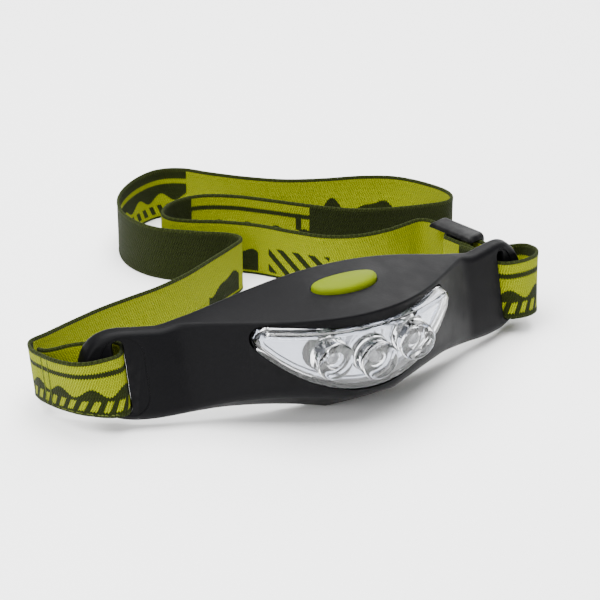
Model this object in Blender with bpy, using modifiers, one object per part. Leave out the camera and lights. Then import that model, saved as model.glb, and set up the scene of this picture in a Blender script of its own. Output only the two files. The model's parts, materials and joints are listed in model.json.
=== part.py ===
"""Three-lamp headlamp on an elastic headband, laid down with its band folded behind it.

Lengths are in metres, +X to the wearer's left as seen from the front, -Y out of the lens, +Z up.
The lamp stands on its sole. Its forehead side leans back by RECLINE, so that the beam is level.
The band is one flat strap standing on its edge: sewn round the left tab, folded to and fro
behind the lamp, then through the slider and the right tab.
"""
import math

import bmesh
import bpy
from mathutils import Matrix, Vector

MM = 0.001
GAP = 0.3 * MM                      # play between pieces that seat on each other

# Band
BAND_WIDTH = 20 * MM
BAND_THICKNESS = 1.2 * MM
BAND_STEP = 4.0 * MM                # longest straight facet of the band

# Housing, seen from above
FOREHEAD_RADIUS = 170 * MM
REAR_Y = -9.2 * MM                  # forehead side on the centre line, at MID_HEIGHT
MID_HEIGHT = 16 * MM
RECLINE = math.radians(16)
WING_THICKNESS = 7.0 * MM
BODY_BULGE = 19.8 * MM              # how much thicker the middle is than the wings
BODY_HALF = 52 * MM                 # half width of the thick middle
TAB_START = 66 * MM                 # where the tabs begin to round off
TAB_END = 80.5 * MM

# Housing, seen from the front
WING_TOP = 31.5 * MM
CROWN_RISE = 12.0 * MM              # how much the middle rises over the wings
CROWN_HALF = 57 * MM
BROW_DROP = 4.2 * MM                # fall of the top face from its back ridge to the brow
BROW_HALF = 50 * MM
SOLE_HALF = 8 * MM                  # flat sole under the middle
ARCH_START = 40 * MM                # where the underside is highest over the sole
ARCH_RISE = 5.2 * MM
TAB_LIFT = 2.9 * MM                 # underside of the tabs over the sole
CHIN_DEPTH = 17.0 * MM              # slant under the lens: how far back it runs
CHIN_HEIGHT = 12 * MM
WALL = 2.0 * MM
CAVITY_HALF = 50 * MM

# Strap slots in the tabs
SLOT_X = 66.6 * MM                  # where the slot comes out on the forehead side
SLOT_WIDTH = 4.0 * MM
SLOT_PLAY = 3.8 * MM                # slot height over the band's width
RECESS_WIDTH = 13.5 * MM
RECESS_HEIGHT = 26 * MM
RECESS_DEPTH = 1.2 * MM

# Lens
LENS_RADIUS = 52 * MM               # of the face, seen from above
LENS_FACE_Y = -36.3 * MM
LENS_TOP = 35.4 * MM
LENS_BOTTOM = 14.0 * MM
LENS_ARC = 47.0 * MM                # radius of the lower edge, seen from the front
LENS_CORNER = 4.5 * MM
LENS_WALL = 1.7 * MM
LENS_DEPTH = 5.0 * MM

# Lamps
LAMP_PITCH = 14.4 * MM
LAMP_HEIGHTS = (27.2 * MM, 24.8 * MM, 27.2 * MM)
DOME_RADIUS = 6.3 * MM
DOME_PROUD = 4.2 * MM               # how far the domes stand out of the lens face
LED_RADIUS = 2.5 * MM
LED_LENGTH = 8.6 * MM
LED_FLANGE = 2.9 * MM

# Board and switch
BOARD_Y = -27.0 * MM                # front of the upright board
BOARD_THICKNESS = 1.4 * MM
BOARD_HALF = 17.8 * MM
BOARD_BOTTOM = 14 * MM
BOARD_TOP = 33.4 * MM
SWITCH_Y = -20.5 * MM
SWITCH_SIDE = 6.0 * MM
SWITCH_HEIGHT = 2.6 * MM
PLUNGER_RADIUS = 1.2 * MM
BUTTON_HALF = 11.4 * MM
BUTTON_BACK_Y = -12.5 * MM
BUTTON_FRONT_Y = -21.8 * MM
BUTTON_PROUD = 1.3 * MM
BUTTON_TRAVEL = 0.5 * MM

# Cells, cradle, cover and door
CELL_RADIUS = 5.25 * MM
CELL_LENGTH = 44.5 * MM
CELL_PITCH = 10.9 * MM
CELL_COUNT = 2
CELL_MID_HEIGHT = 19.5 * MM
COVER_THICKNESS = 2.4 * MM
COVER_LIFT = 0.6 * MM               # keeps the cover clear of the rounded chin inside
DOOR_THICKNESS = 1.4 * MM
DOOR_HALF = 26 * MM
DOOR_BOTTOM = 9.0 * MM
DOOR_TOP = 34.6 * MM
LEDGE = 1.6 * MM
SCREW_X = 44 * MM
SCREW_HEIGHTS = (12 * MM, 27 * MM)
SCREW_RADIUS = 1.1 * MM
SCREW_HEAD_RADIUS = 2.0 * MM
SCREW_LENGTH = 6.0 * MM
BOSS_RADIUS = 2.6 * MM

# Slider
SLIDER_LENGTH = 20 * MM
SLIDER_HEIGHT = 24 * MM
SLIDER_BAR = 2.4 * MM

COLOURS = {
    "soft_black": ((0.035, 0.037, 0.042), 0.55, 0.0),
    "black": ((0.02, 0.02, 0.02), 0.45, 0.0),
    "lime": ((0.60, 0.75, 0.02), 0.45, 0.0),
    "clear": ((0.85, 0.88, 0.9), 0.05, 0.0),
    "silver": ((0.75, 0.76, 0.78), 0.2, 0.9),
    "green": ((0.02, 0.18, 0.07), 0.5, 0.0),
    "steel": ((0.55, 0.55, 0.55), 0.3, 1.0),
    "cell": ((0.08, 0.09, 0.12), 0.35, 0.3),
    "red": ((0.5, 0.02, 0.02), 0.5, 0.0),
    "band": ((0.33, 0.37, 0.04), 0.9, 0.0),
    "led": ((0.9, 0.9, 0.85), 0.1, 0.0),
    "ceramic": ((0.6, 0.5, 0.35), 0.6, 0.0),
}


# ---------------------------------------------------------------- scene and small helpers

def clear_scene():
    for item in list(bpy.data.objects):
        bpy.data.objects.remove(item, do_unlink=True)


def new_collection(name):
    collection = bpy.data.collections.new(name)
    bpy.context.scene.collection.children.link(collection)
    return collection


def finish_material(key):
    name = "finish_" + key
    if name in bpy.data.materials:
        return bpy.data.materials[name]
    colour, roughness, metallic = COLOURS[key]
    material = bpy.data.materials.new(name)
    material.use_nodes = True
    shader = material.node_tree.nodes["Principled BSDF"]
    shader.inputs["Base Color"].default_value = (*colour, 1.0)
    shader.inputs["Roughness"].default_value = roughness
    shader.inputs["Metallic"].default_value = metallic
    return material


def add_part(name, bm, finish, place=None):
    """A closed mesh as a named part, under the frame empty."""
    bmesh.ops.recalc_face_normals(bm, faces=bm.faces)
    mesh = bpy.data.meshes.new(name)
    bm.to_mesh(mesh)
    bm.free()
    part = bpy.data.objects.new(name, mesh)
    PARTS.objects.link(part)
    part.parent = FRAME
    if place is not None:
        part.matrix_local = place
    part.data.materials.append(finish_material(finish))
    return part


def add_cutter(name, bm, place=None):
    bmesh.ops.recalc_face_normals(bm, faces=bm.faces)
    mesh = bpy.data.meshes.new(name)
    bm.to_mesh(mesh)
    bm.free()
    cutter = bpy.data.objects.new(name, mesh)
    CUTTERS.objects.link(cutter)
    cutter.parent = FRAME
    if place is not None:
        cutter.matrix_local = place
    cutter.hide_render = True
    cutter.display_type = "WIRE"
    return cutter


def combine(part, other, operation="DIFFERENCE"):
    modifier = part.modifiers.new(operation.lower(), "BOOLEAN")
    modifier.operation = operation
    modifier.object = other
    modifier.solver = "EXACT"


def smooth(part, angle=40):
    part.data.shade_smooth()
    part.data.set_sharp_from_angle(angle=math.radians(angle))


def box(size, centre=(0, 0, 0)):
    bm = bmesh.new()
    bmesh.ops.create_cube(bm, size=1.0)
    bmesh.ops.scale(bm, vec=size, verts=bm.verts)
    bmesh.ops.translate(bm, vec=centre, verts=bm.verts)
    return bm


def cylinder(radius, length, start=0.0, segments=24, end_radius=None):
    """A cylinder or cone along +Z from start."""
    bm = bmesh.new()
    bmesh.ops.create_cone(bm, cap_ends=True, segments=segments, radius1=radius,
                          radius2=radius if end_radius is None else end_radius, depth=length)
    bmesh.ops.translate(bm, vec=(0, 0, start + length / 2), verts=bm.verts)
    return bm


def lathe(name, profile, finish, place, segments=24):
    """A turned part about its own Z, from (radius, height) points running top to bottom."""
    bm = bmesh.new()
    verts = [bm.verts.new((radius, 0, height)) for radius, height in profile]
    for first, second in zip(verts, verts[1:]):
        bm.edges.new((first, second))
    mesh = bpy.data.meshes.new(name)
    bm.to_mesh(mesh)
    bm.free()
    part = bpy.data.objects.new(name, mesh)
    PARTS.objects.link(part)
    part.parent = FRAME
    part.matrix_local = place
    part.data.materials.append(finish_material(finish))
    turn = part.modifiers.new("turn", "SCREW")
    turn.steps = turn.render_steps = segments
    turn.use_merge_vertices = True
    turn.merge_threshold = 0.00001
    turn.use_smooth_shade = True
    return part


def spin(profile, segments):
    """A turned solid about +Z, from (radius, height) points that start and end on the axis."""
    bm = bmesh.new()
    verts = [bm.verts.new((radius, 0, height)) for radius, height in profile]
    edges = [bm.edges.new(pair) for pair in zip(verts, verts[1:])]
    bmesh.ops.spin(bm, geom=verts + edges, axis=(0, 0, 1), cent=(0, 0, 0),
                   angle=2 * math.pi, steps=segments, use_merge=True)
    bmesh.ops.remove_doubles(bm, verts=bm.verts, dist=0.01 * MM)
    return bm


def rounded_polygon(corners, steps=4):
    """Points of a polygon whose corners (a, b, radius) are turned into arcs."""
    points = []
    count = len(corners)
    for index, (a, b, radius) in enumerate(corners):
        here = Vector((a, b))
        before = Vector(corners[index - 1][:2]) - here
        after = Vector(corners[(index + 1) % count][:2]) - here
        if radius <= 0:
            points.append((a, b))
            continue
        half = before.angle(after) / 2
        reach = radius / math.tan(half)
        room = 0.48 * min(before.length, after.length)
        if reach > room:
            radius *= room / reach
            reach = room
        bisector = (before.normalized() + after.normalized()).normalized()
        centre = here + bisector * (radius / math.sin(half))
        first = here + before.normalized() * reach - centre
        second = here + after.normalized() * reach - centre
        turn = first.angle_signed(second)
        for step in range(steps + 1):
            angle = -turn * step / steps
            arm = Vector((first.x * math.cos(angle) - first.y * math.sin(angle),
                          first.x * math.sin(angle) + first.y * math.cos(angle)))
            points.append(tuple(centre + arm))
    return points


def loft(rings):
    """A closed skin over rings of equally many points, with flat ends."""
    bm = bmesh.new()
    loops = [[bm.verts.new(point) for point in ring] for ring in rings]
    count = len(loops[0])
    for lower, upper in zip(loops, loops[1:]):
        for index in range(count):
            following = (index + 1) % count
            bm.faces.new((lower[index], lower[following], upper[following], upper[index]))
    bm.faces.new(list(reversed(loops[0])))
    bm.faces.new(loops[-1])
    return bm


def prism(outline, bottom, top):
    """An outline of (x, y) points extruded along Z."""
    return loft([[(a, b, bottom) for a, b in outline], [(a, b, top) for a, b in outline]])


def racetrack(width, height, steps=8):
    radius = width / 2
    rise = height / 2 - radius
    points = []
    for centre, start in ((rise, 0.0), (-rise, math.pi)):
        for step in range(steps + 1):
            angle = start + math.pi * step / steps
            points.append((radius * math.cos(angle), centre + radius * math.sin(angle)))
    return points


def span(start, stop, count):
    return [start + (stop - start) * index / count for index in range(count + 1)]


# ---------------------------------------------------------------- the housing's surfaces

def swell(x, half, power):
    """1 on the centre line, falling smoothly to 0 at half."""
    ratio = min(1.0, abs(x) / half)
    return (1 - ratio * ratio) ** power


def rear_y(x, z):
    """Forehead side: an arc seen from above, leaning back with height."""
    sagitta = FOREHEAD_RADIUS - math.sqrt(FOREHEAD_RADIUS ** 2 - x * x)
    return REAR_Y + sagitta + (z - MID_HEIGHT) * math.tan(RECLINE)


def front_y(x, z):
    bulge = swell(x, BODY_HALF, 1.35)
    lean = math.tan(RECLINE) * (1 - bulge) + 0.05 * bulge
    return rear_y(x, MID_HEIGHT) - WING_THICKNESS - BODY_BULGE * bulge + (z - MID_HEIGHT) * lean


def top_z(x):
    return WING_TOP + CROWN_RISE * swell(x, CROWN_HALF, 1.25)


def bottom_z(x):
    rise = min(1.0, max(0.0, (abs(x) - SOLE_HALF) / (ARCH_START - SOLE_HALF)))
    fall = min(1.0, max(0.0, (abs(x) - ARCH_START) / (TAB_START - ARCH_START)))
    return ARCH_RISE * rise * (2 - rise) - (ARCH_RISE - TAB_LIFT) * fall ** 2 * (3 - 2 * fall)


def tab_height(x):
    """Share of the full height left at x, rounding the tab's end off."""
    reach = max(0.0, (abs(x) - TAB_START) / (TAB_END - TAB_START))
    return (1 - min(reach, 1.0) ** 2.4) ** (1 / 2.4)


def housing_section(x, inset=0.0, behind=0.0):
    """The housing's outline across x, moved in by inset, its forehead side moved back by behind."""
    share = tab_height(x)
    low = MID_HEIGHT - (MID_HEIGHT - bottom_z(x)) * share + inset
    high = MID_HEIGHT + (top_z(x) - MID_HEIGHT) * share - inset
    body = swell(x, BODY_HALF, 1.35)
    brow = high - BROW_DROP * swell(x, BROW_HALF, 1.0)
    edge = 2.6 * MM
    brow_y = front_y(x, brow) + inset + 0.8 * MM * body
    rise = (high - brow) / (rear_y(x, high) - brow_y) * behind
    chin = low + edge + (CHIN_HEIGHT - edge) * body
    chin_y = front_y(x, low) + edge + (CHIN_DEPTH - edge) * body + inset
    round_under = max(0.4 * MM, edge + MM * body - inset)
    corners = (
        (rear_y(x, low) + behind, low, max(0.4 * MM, 1.4 * MM - inset)),
        (chin_y, low, round_under),
        (front_y(x, chin) + inset, chin, round_under),
        (brow_y, brow, edge - (edge - 0.8 * MM) * body ** 0.3),
        (rear_y(x, high) + behind, high + rise, max(0.4 * MM, edge - inset)),
    )
    return [(x, y, z) for y, z in rounded_polygon(corners)]


def slab(half, front, back, low, high, count=12):
    """A bent slab between the surfaces front(x, z) and back(x, z)."""
    rings = []
    for x in span(-half, half, count):
        bottom = low(x)
        top = high(x)
        rings.append([(x, front(x, bottom), bottom), (x, front(x, top), top),
                      (x, back(x, top), top), (x, back(x, bottom), bottom)])
    return loft(rings)


def rear_frame(x, z, depth=0.0):
    """A place on the forehead side: its Z points out of the back, its Y up along the lean."""
    slope = x / math.sqrt(FOREHEAD_RADIUS ** 2 - x * x)
    outward = Vector((-slope, 1, -math.tan(RECLINE))).normalized()
    across = Vector((1, slope, 0)).normalized()
    upward = outward.cross(across)
    place = Matrix((across, upward, outward)).transposed().to_4x4()
    place.translation = Vector((x, rear_y(x, z), z)) - outward * depth
    return place


def lens_y(x):
    return LENS_FACE_Y + LENS_RADIUS - math.sqrt(LENS_RADIUS ** 2 - x * x)


def lens_outline(grow=0.0):
    """The lens seen from the front, as (x, z): a straight top over a deep lower arc."""
    radius = LENS_ARC + grow
    centre = LENS_BOTTOM + LENS_ARC
    corner = LENS_CORNER + grow
    drop = centre - (LENS_TOP + grow) + corner
    side = math.sqrt((radius - corner) ** 2 - drop ** 2)
    limit = math.atan2(side, drop)
    points = [(side + corner * math.sin(angle), centre - drop + corner * math.cos(angle))
              for angle in span(0, math.pi - limit, 6)]
    points += [(radius * math.sin(angle), centre - radius * math.cos(angle))
               for angle in span(limit, -limit, 14)[1:]]
    points += [(-side - corner * math.sin(angle), centre - drop + corner * math.cos(angle))
               for angle in span(math.pi - limit, 0, 6)[1:]]
    return points


def lens_prism(grow=0.0):
    """The lens outline as a block through the front of the housing."""
    return loft([[(x, y, z) for x, z in lens_outline(grow)] for y in (-60 * MM, -8 * MM)])


def lens_layer(front, back):
    """A bent slab that follows the lens face, between two depths behind it."""
    half = 38 * MM
    return slab(half, lambda x, z: lens_y(x) + front, lambda x, z: lens_y(x) + back,
                lambda x: 5 * MM, lambda x: 45 * MM, 18)


def lamp_places():
    """Each lamp's x and height."""
    middle = (len(LAMP_HEIGHTS) - 1) / 2
    return [((index - middle) * LAMP_PITCH, height) for index, height in enumerate(LAMP_HEIGHTS)]


def facing_forward(x, y, z):
    """A place whose Z points out of the lens."""
    place = Matrix.Rotation(math.radians(90), 4, "X")
    place.translation = (x, y, z)
    return place


# ---------------------------------------------------------------- casing

def slot_place(side):
    """The middle of a tab's slot: its Y runs up the slot, its Z out of the back."""
    x = side * SLOT_X
    slope = x / math.sqrt(FOREHEAD_RADIUS ** 2 - x * x)
    up = Vector((0, math.sin(RECLINE), math.cos(RECLINE)))
    through = Vector((-slope, math.cos(RECLINE), -math.sin(RECLINE))).normalized()
    place = Matrix((up.cross(through), up, through)).transposed().to_4x4()
    place.translation = Vector((x, rear_y(x, MID_HEIGHT), MID_HEIGHT)) - through * WING_THICKNESS / 2
    return place


def front_housing():
    stations = [TAB_END * math.sin(math.radians(angle)) for angle in (*range(-80, 81, 5),)]
    stations = [min(max(x, -0.99 * TAB_END), 0.99 * TAB_END) for x in stations]
    stations = sorted({round(x, 6) for x in stations} | {-0.992 * TAB_END, 0.992 * TAB_END})
    part = add_part("front_housing", loft([housing_section(x) for x in stations]), "soft_black")
    inside = [housing_section(x, WALL, 4 * MM) for x in span(-CAVITY_HALF, CAVITY_HALF, 20)]
    combine(part, add_cutter("cut_inside", loft(inside)))
    for side in (-1, 1):
        place = slot_place(side)
        name = "left" if side < 0 else "right"
        slot = prism(racetrack(SLOT_WIDTH, BAND_WIDTH + SLOT_PLAY), -10 * MM, 10 * MM)
        combine(part, add_cutter("cut_slot_" + name, slot, place))
        floor = WING_THICKNESS / 2 - RECESS_DEPTH
        recess = prism(racetrack(RECESS_WIDTH, RECESS_HEIGHT), -10 * MM, -floor)
        combine(part, add_cutter("cut_recess_" + name, recess, place))
    opening = add_cutter("cut_lens", lens_prism(GAP))
    front_only = add_cutter("cut_lens_depth", lens_layer(-15 * MM, LENS_DEPTH + 1.5 * MM))
    combine(opening, front_only, "INTERSECT")
    combine(part, opening)
    combine(part, add_cutter("cut_button", button_solid(GAP, -6 * MM, 6 * MM), button_place()))
    middle = [housing_section(x, WALL / 2) for x in span(-CAVITY_HALF, CAVITY_HALF, 20)]
    within = add_cutter("keep_bosses", loft(middle))
    for number, place in enumerate(screw_places(), 1):
        reach = WING_THICKNESS + BODY_BULGE
        boss = cylinder(BOSS_RADIUS, reach, -reach - COVER_THICKNESS - GAP, 16)
        boss = add_cutter(f"add_boss_{number}", boss, place)
        combine(boss, within, "INTERSECT")
        combine(part, boss, "UNION")
        bore = cylinder(SCREW_RADIUS + GAP, SCREW_LENGTH + 1 * MM, -SCREW_LENGTH - 1 * MM, 12)
        combine(part, add_cutter(f"cut_boss_{number}", bore, place))
    smooth(part)
    return part


def screw_places():
    return [rear_frame(side * SCREW_X, z) for side in (-1, 1) for z in SCREW_HEIGHTS]


def ceiling_slope(x):
    """Fall of the top face per length towards the brow."""
    return BROW_DROP * swell(x, BROW_HALF, 1.0) / (WING_THICKNESS + BODY_BULGE * swell(x, BODY_HALF, 1.35))


def rear_cover():
    edge = WALL + GAP
    part = add_part("rear_cover", slab(
        CAVITY_HALF - GAP, lambda x, z: rear_y(x, z) - COVER_THICKNESS, rear_y,
        lambda x: bottom_z(x) + edge + COVER_LIFT,
        lambda x: top_z(x) - edge - COVER_THICKNESS * ceiling_slope(x), 24), "black")
    door = slab(DOOR_HALF + GAP, lambda x, z: rear_y(x, z) - DOOR_THICKNESS - GAP,
                lambda x, z: rear_y(x, z) + 3 * MM,
                lambda x: DOOR_BOTTOM - GAP, lambda x: DOOR_TOP + GAP)
    combine(part, add_cutter("cut_door", door))
    opening = slab(DOOR_HALF - LEDGE, lambda x, z: rear_y(x, z) - 6 * MM,
                   lambda x, z: rear_y(x, z) + 3 * MM,
                   lambda x: DOOR_BOTTOM + LEDGE, lambda x: DOOR_TOP - LEDGE)
    combine(part, add_cutter("cut_cells_opening", opening))
    for number, place in enumerate(screw_places(), 1):
        through = cylinder(SCREW_RADIUS + GAP, 8 * MM, -6 * MM, 12)
        combine(part, add_cutter(f"cut_cover_{number}", through, place))
        sink = cylinder(SCREW_HEAD_RADIUS + GAP, 4 * MM, -1.4 * MM, 16)
        combine(part, add_cutter(f"cut_sink_{number}", sink, place))
    return part


def battery_door():
    part = add_part("battery_door", slab(
        DOOR_HALF, lambda x, z: rear_y(x, z) - DOOR_THICKNESS, rear_y,
        lambda x: DOOR_BOTTOM, lambda x: DOOR_TOP), "black")
    scoop = cylinder(9 * MM, 8 * MM, 0.0, 24)
    place = rear_frame(0, DOOR_TOP - 5 * MM)
    place = place @ Matrix.Translation((0, 0, 8.3 * MM)) @ Matrix.Rotation(math.radians(90), 4, "X")
    place = place @ Matrix.Translation((0, 0, -4 * MM))
    combine(part, add_cutter("cut_scoop", scoop, place))
    return part


def cover_screws():
    profile = ((0, -0.2), (1.9, -0.2), (2.0, -0.4), (2.0, -1.1), (1.1, -1.1), (1.1, -5.6), (0, -6.0))
    for number, place in enumerate(screw_places(), 1):
        points = [(r * SCREW_HEAD_RADIUS / 2.0, h * SCREW_LENGTH / 6.0) for r, h in profile]
        lathe(f"cover_screw_{number}", points, "steel", place, 16)


# ---------------------------------------------------------------- optics

def lens():
    part = add_part("lens", lens_prism(), "clear")
    combine(part, add_cutter("keep_lens", lens_layer(0, LENS_DEPTH)), "INTERSECT")
    hollow = add_cutter("cut_lens_hollow", lens_prism(-LENS_WALL))
    combine(hollow, add_cutter("keep_hollow", lens_layer(LENS_WALL, 12 * MM)), "INTERSECT")
    combine(part, hollow)
    for number, (x, height) in enumerate(lamp_places(), 1):
        face = facing_forward(x, lens_y(x), height)
        seat = cylinder(DOME_RADIUS - 1.3 * MM, 20 * MM, -10 * MM, 20)
        combine(part, add_cutter(f"cut_dome_seat_{number}", seat, face))
        pocket_end = lens_y(x) - (BOARD_Y - LED_LENGTH - 2 * GAP)
        dome = add_cutter(f"add_dome_{number}", spin(dome_profile(pocket_end), 20), face)
        combine(part, dome, "UNION")
    smooth(part)
    return part


def dome_profile(pocket_end):
    """A collimator dome as (radius, height) from its tip round to the end of its LED pocket."""
    foot = -LENS_WALL - 1.0 * MM
    pocket = LED_FLANGE + GAP
    edge = DOME_RADIUS / 3
    crown = DOME_PROUD / 4
    profile = [((DOME_RADIUS - edge) * share, DOME_PROUD - crown * share ** 2)
               for share in (0, 0.4, 0.7, 1)]
    profile += [(DOME_RADIUS - edge + edge * math.sin(angle),
                 DOME_PROUD - crown - edge + edge * math.cos(angle))
                for angle in span(0, math.pi / 2, 4)[1:]]
    return profile + [(DOME_RADIUS, foot), (pocket, foot), (pocket, pocket_end), (0, pocket_end)]


def reflector():
    inset = LENS_WALL + GAP
    part = add_part("reflector_tray", lens_prism(-inset), "silver")
    combine(part, add_cutter("keep_tray", lens_layer(LENS_WALL + 2.0 * MM, LENS_DEPTH + 0.6 * MM)),
            "INTERSECT")
    bowl = add_cutter("cut_bowl", lens_prism(-inset - 1.0 * MM))
    combine(bowl, add_cutter("keep_bowl", lens_layer(-5 * MM, LENS_DEPTH - 0.6 * MM)), "INTERSECT")
    combine(part, bowl)
    for number, (x, height) in enumerate(lamp_places(), 1):
        place = facing_forward(x, -20 * MM, height)
        hole = cylinder(DOME_RADIUS + GAP, 40 * MM, -5 * MM, 20)
        combine(part, add_cutter(f"cut_led_{number}", hole, place))
    return part


def leds():
    profile = ((0, 8.6), (1.25, 8.25), (2.1, 7.4), (2.5, 6.1), (2.5, 1.0), (2.9, 1.0), (2.9, 0), (0, 0))
    for label, (x, height) in zip(("left", "middle", "right"), lamp_places()):
        place = facing_forward(x, BOARD_Y - GAP, height)
        points = [(r * LED_RADIUS / 2.5, h * LED_LENGTH / 8.6) for r, h in profile]
        lathe("led_" + label, points, "led", place, 20)


# ---------------------------------------------------------------- electrics

def boards():
    height = BOARD_TOP - BOARD_BOTTOM
    add_part("circuit_board", box(
        (2 * BOARD_HALF, BOARD_THICKNESS, height),
        (0, BOARD_Y + BOARD_THICKNESS / 2, BOARD_BOTTOM + height / 2)), "green")
    deck = 1.2 * MM
    base = BOARD_TOP + GAP
    add_part("switch_board", box((14 * MM, 9.6 * MM, deck),
                                 (0, SWITCH_Y - 1.7 * MM, base + deck / 2)), "green")
    body = box((SWITCH_SIDE, SWITCH_SIDE, SWITCH_HEIGHT),
               (0, SWITCH_Y, base + deck + GAP + SWITCH_HEIGHT / 2))
    add_part("tact_switch", body, "steel")
    for index, x in enumerate((-9.5 * MM, 9.5 * MM), 1):
        add_part(f"resistor_{index}", box(
            (3.2 * MM, 0.7 * MM, 1.6 * MM),
            (x, BOARD_Y - GAP - 0.35 * MM, BOARD_BOTTOM + 3 * MM)), "ceramic")


def button_place():
    """On the top face at the middle of the button, its Z square to the face."""
    middle = (BUTTON_BACK_Y + BUTTON_FRONT_Y) / 2
    high = top_z(0)
    back = rear_y(0, high)
    fall = math.atan2(BROW_DROP, back - front_y(0, high - BROW_DROP))
    place = Matrix.Rotation(fall, 4, "X")
    place.translation = (0, middle, high - (back - middle) * math.tan(fall))
    return place


def button_solid(grow, bottom, top):
    """A leaf with a nearly straight back edge and a deep front edge."""
    half = BUTTON_HALF + grow
    back = (BUTTON_BACK_Y - BUTTON_FRONT_Y) / 2 + grow
    waist = 1.6 * MM
    corners = [(half, waist, 1.6 * MM)]
    for angle in span(0, math.pi, 8)[1:-1]:
        corners.append((half * math.cos(angle), waist + (back - waist) * math.sin(angle) ** 0.8, 0))
    corners.append((-half, waist, 1.6 * MM))
    for angle in span(math.pi, 2 * math.pi, 10)[1:-1]:
        corners.append((half * math.cos(angle), waist + (back + waist) * math.sin(angle), 0))
    return prism(rounded_polygon(corners, steps=3), bottom, top)


def push_button():
    deep = WALL + 0.2 * MM
    part = add_part("push_button", button_solid(0, -deep, BUTTON_PROUD), "lime", button_place())
    return part


def spacer_plunger():
    """The switch's plunger, which moves with the button."""
    place = button_place()
    reach = SWITCH_Y - place.translation.y
    under = place @ Matrix.Translation((0, reach, -(WALL + 0.2 * MM) - GAP))
    foot = BOARD_TOP + GAP + 1.2 * MM + GAP + SWITCH_HEIGHT + GAP
    length = under.translation.z - foot - BUTTON_TRAVEL
    stem = cylinder(PLUNGER_RADIUS, length, -length, 16)
    add_part("switch_plunger", stem, "black", under)


# ---------------------------------------------------------------- cells and contacts

def cell_places():
    middle = rear_frame(0, CELL_MID_HEIGHT, COVER_THICKNESS + GAP + CELL_RADIUS)
    return [middle @ Matrix.Translation((0, (index - (CELL_COUNT - 1) / 2) * CELL_PITCH, 0))
            for index in range(CELL_COUNT)]


def cells():
    profile = ((0, 44.5), (2.4, 44.5), (2.6, 43.4), (4.9, 43.4), (5.25, 42.9), (5.25, 0.4), (4.9, 0),
               (0, 0))
    for number, place in enumerate(cell_places(), 1):
        side = 1 if number % 2 else -1
        along = Matrix.Rotation(math.radians(90 * side), 4, "Y")
        shift = Matrix.Translation((-side * CELL_LENGTH / 2, 0, 0))
        points = [(r * CELL_RADIUS / 5.25, h * CELL_LENGTH / 44.5) for r, h in profile]
        lathe(f"cell_{number}", points, "cell", place @ shift @ along, 20)


def cradle():
    """The tray that the cells lie in: saddles, two end walls, open to the door."""
    middle = rear_frame(0, CELL_MID_HEIGHT, COVER_THICKNESS + GAP + CELL_RADIUS)
    wall = 1.2 * MM
    inner = CELL_LENGTH + 5 * MM
    height = (CELL_COUNT - 1) * CELL_PITCH + 4 * MM
    floor = CELL_RADIUS + GAP + 0.7 * MM
    depth = floor + 3.4 * MM
    part = add_part("battery_cradle", box((inner + 2 * wall, height, depth),
                                          (0, 0, -floor + depth / 2)), "black", middle)
    well = box((inner, height + 10 * MM, 20 * MM), (0, 0, 10 * MM - 2.2 * MM))
    combine(part, add_cutter("cut_well", well, middle))
    for number, place in enumerate(cell_places(), 1):
        along = place @ Matrix.Rotation(math.radians(90), 4, "Y")
        saddle = cylinder(CELL_RADIUS + GAP, inner, -inner / 2, 20)
        combine(part, add_cutter(f"cut_saddle_{number}", saddle, along))
    room = [housing_section(x, WALL + GAP) for x in span(-CAVITY_HALF, CAVITY_HALF, 20)]
    combine(part, add_cutter("keep_cradle", loft(room)), "INTERSECT")
    return part


def contacts():
    """A spring at the flat end of each cell and a plate at its nipple."""
    reach = CELL_LENGTH / 2 + 2.5 * MM
    for number, place in enumerate(cell_places(), 1):
        side = 1 if number % 2 else -1
        plate = box((0.5 * MM, 7 * MM, 6 * MM), (side * (reach - 0.25 * MM - GAP), 0, 0))
        add_part(f"contact_plate_{number}", plate, "steel", place)
        coil(f"contact_spring_{number}", place, -side, reach)


def coil(name, place, side, reach):
    """A conical spring from the cradle's end wall to the flat end of a cell."""
    wire = 0.3 * MM
    turns = 3
    per_turn = 9
    start = reach - GAP - wire
    end = CELL_LENGTH / 2 + GAP + wire
    points = []
    for step in range(turns * per_turn + 1):
        share = step / (turns * per_turn)
        angle = 2 * math.pi * step / per_turn
        radius = (3.4 - 1.4 * share) * MM
        along = start + (end - start) * share
        points.append(Vector((side * along, radius * math.cos(angle), radius * math.sin(angle))))
    tube(name, points, wire, "steel", place)


def tube(name, points, radius, finish, place=None):
    """A wire through points, as one closed mesh."""
    curve = bpy.data.curves.new(name, "CURVE")
    curve.dimensions = "3D"
    spline = curve.splines.new("POLY")
    spline.points.add(len(points) - 1)
    for target, point in zip(spline.points, points):
        target.co = (*point, 1)
    curve.bevel_depth = radius
    curve.bevel_resolution = 1
    curve.use_fill_caps = True
    part = bpy.data.objects.new(name, curve)
    PARTS.objects.link(part)
    part.parent = FRAME
    if place is not None:
        part.matrix_local = place
    part.data.materials.append(finish_material(finish))
    return part


# ---------------------------------------------------------------- band and slider

SLIDER_AT = (73.6, 34.9, 12.0)
SLIDER_WAY = (0.290, -0.957)

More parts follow.
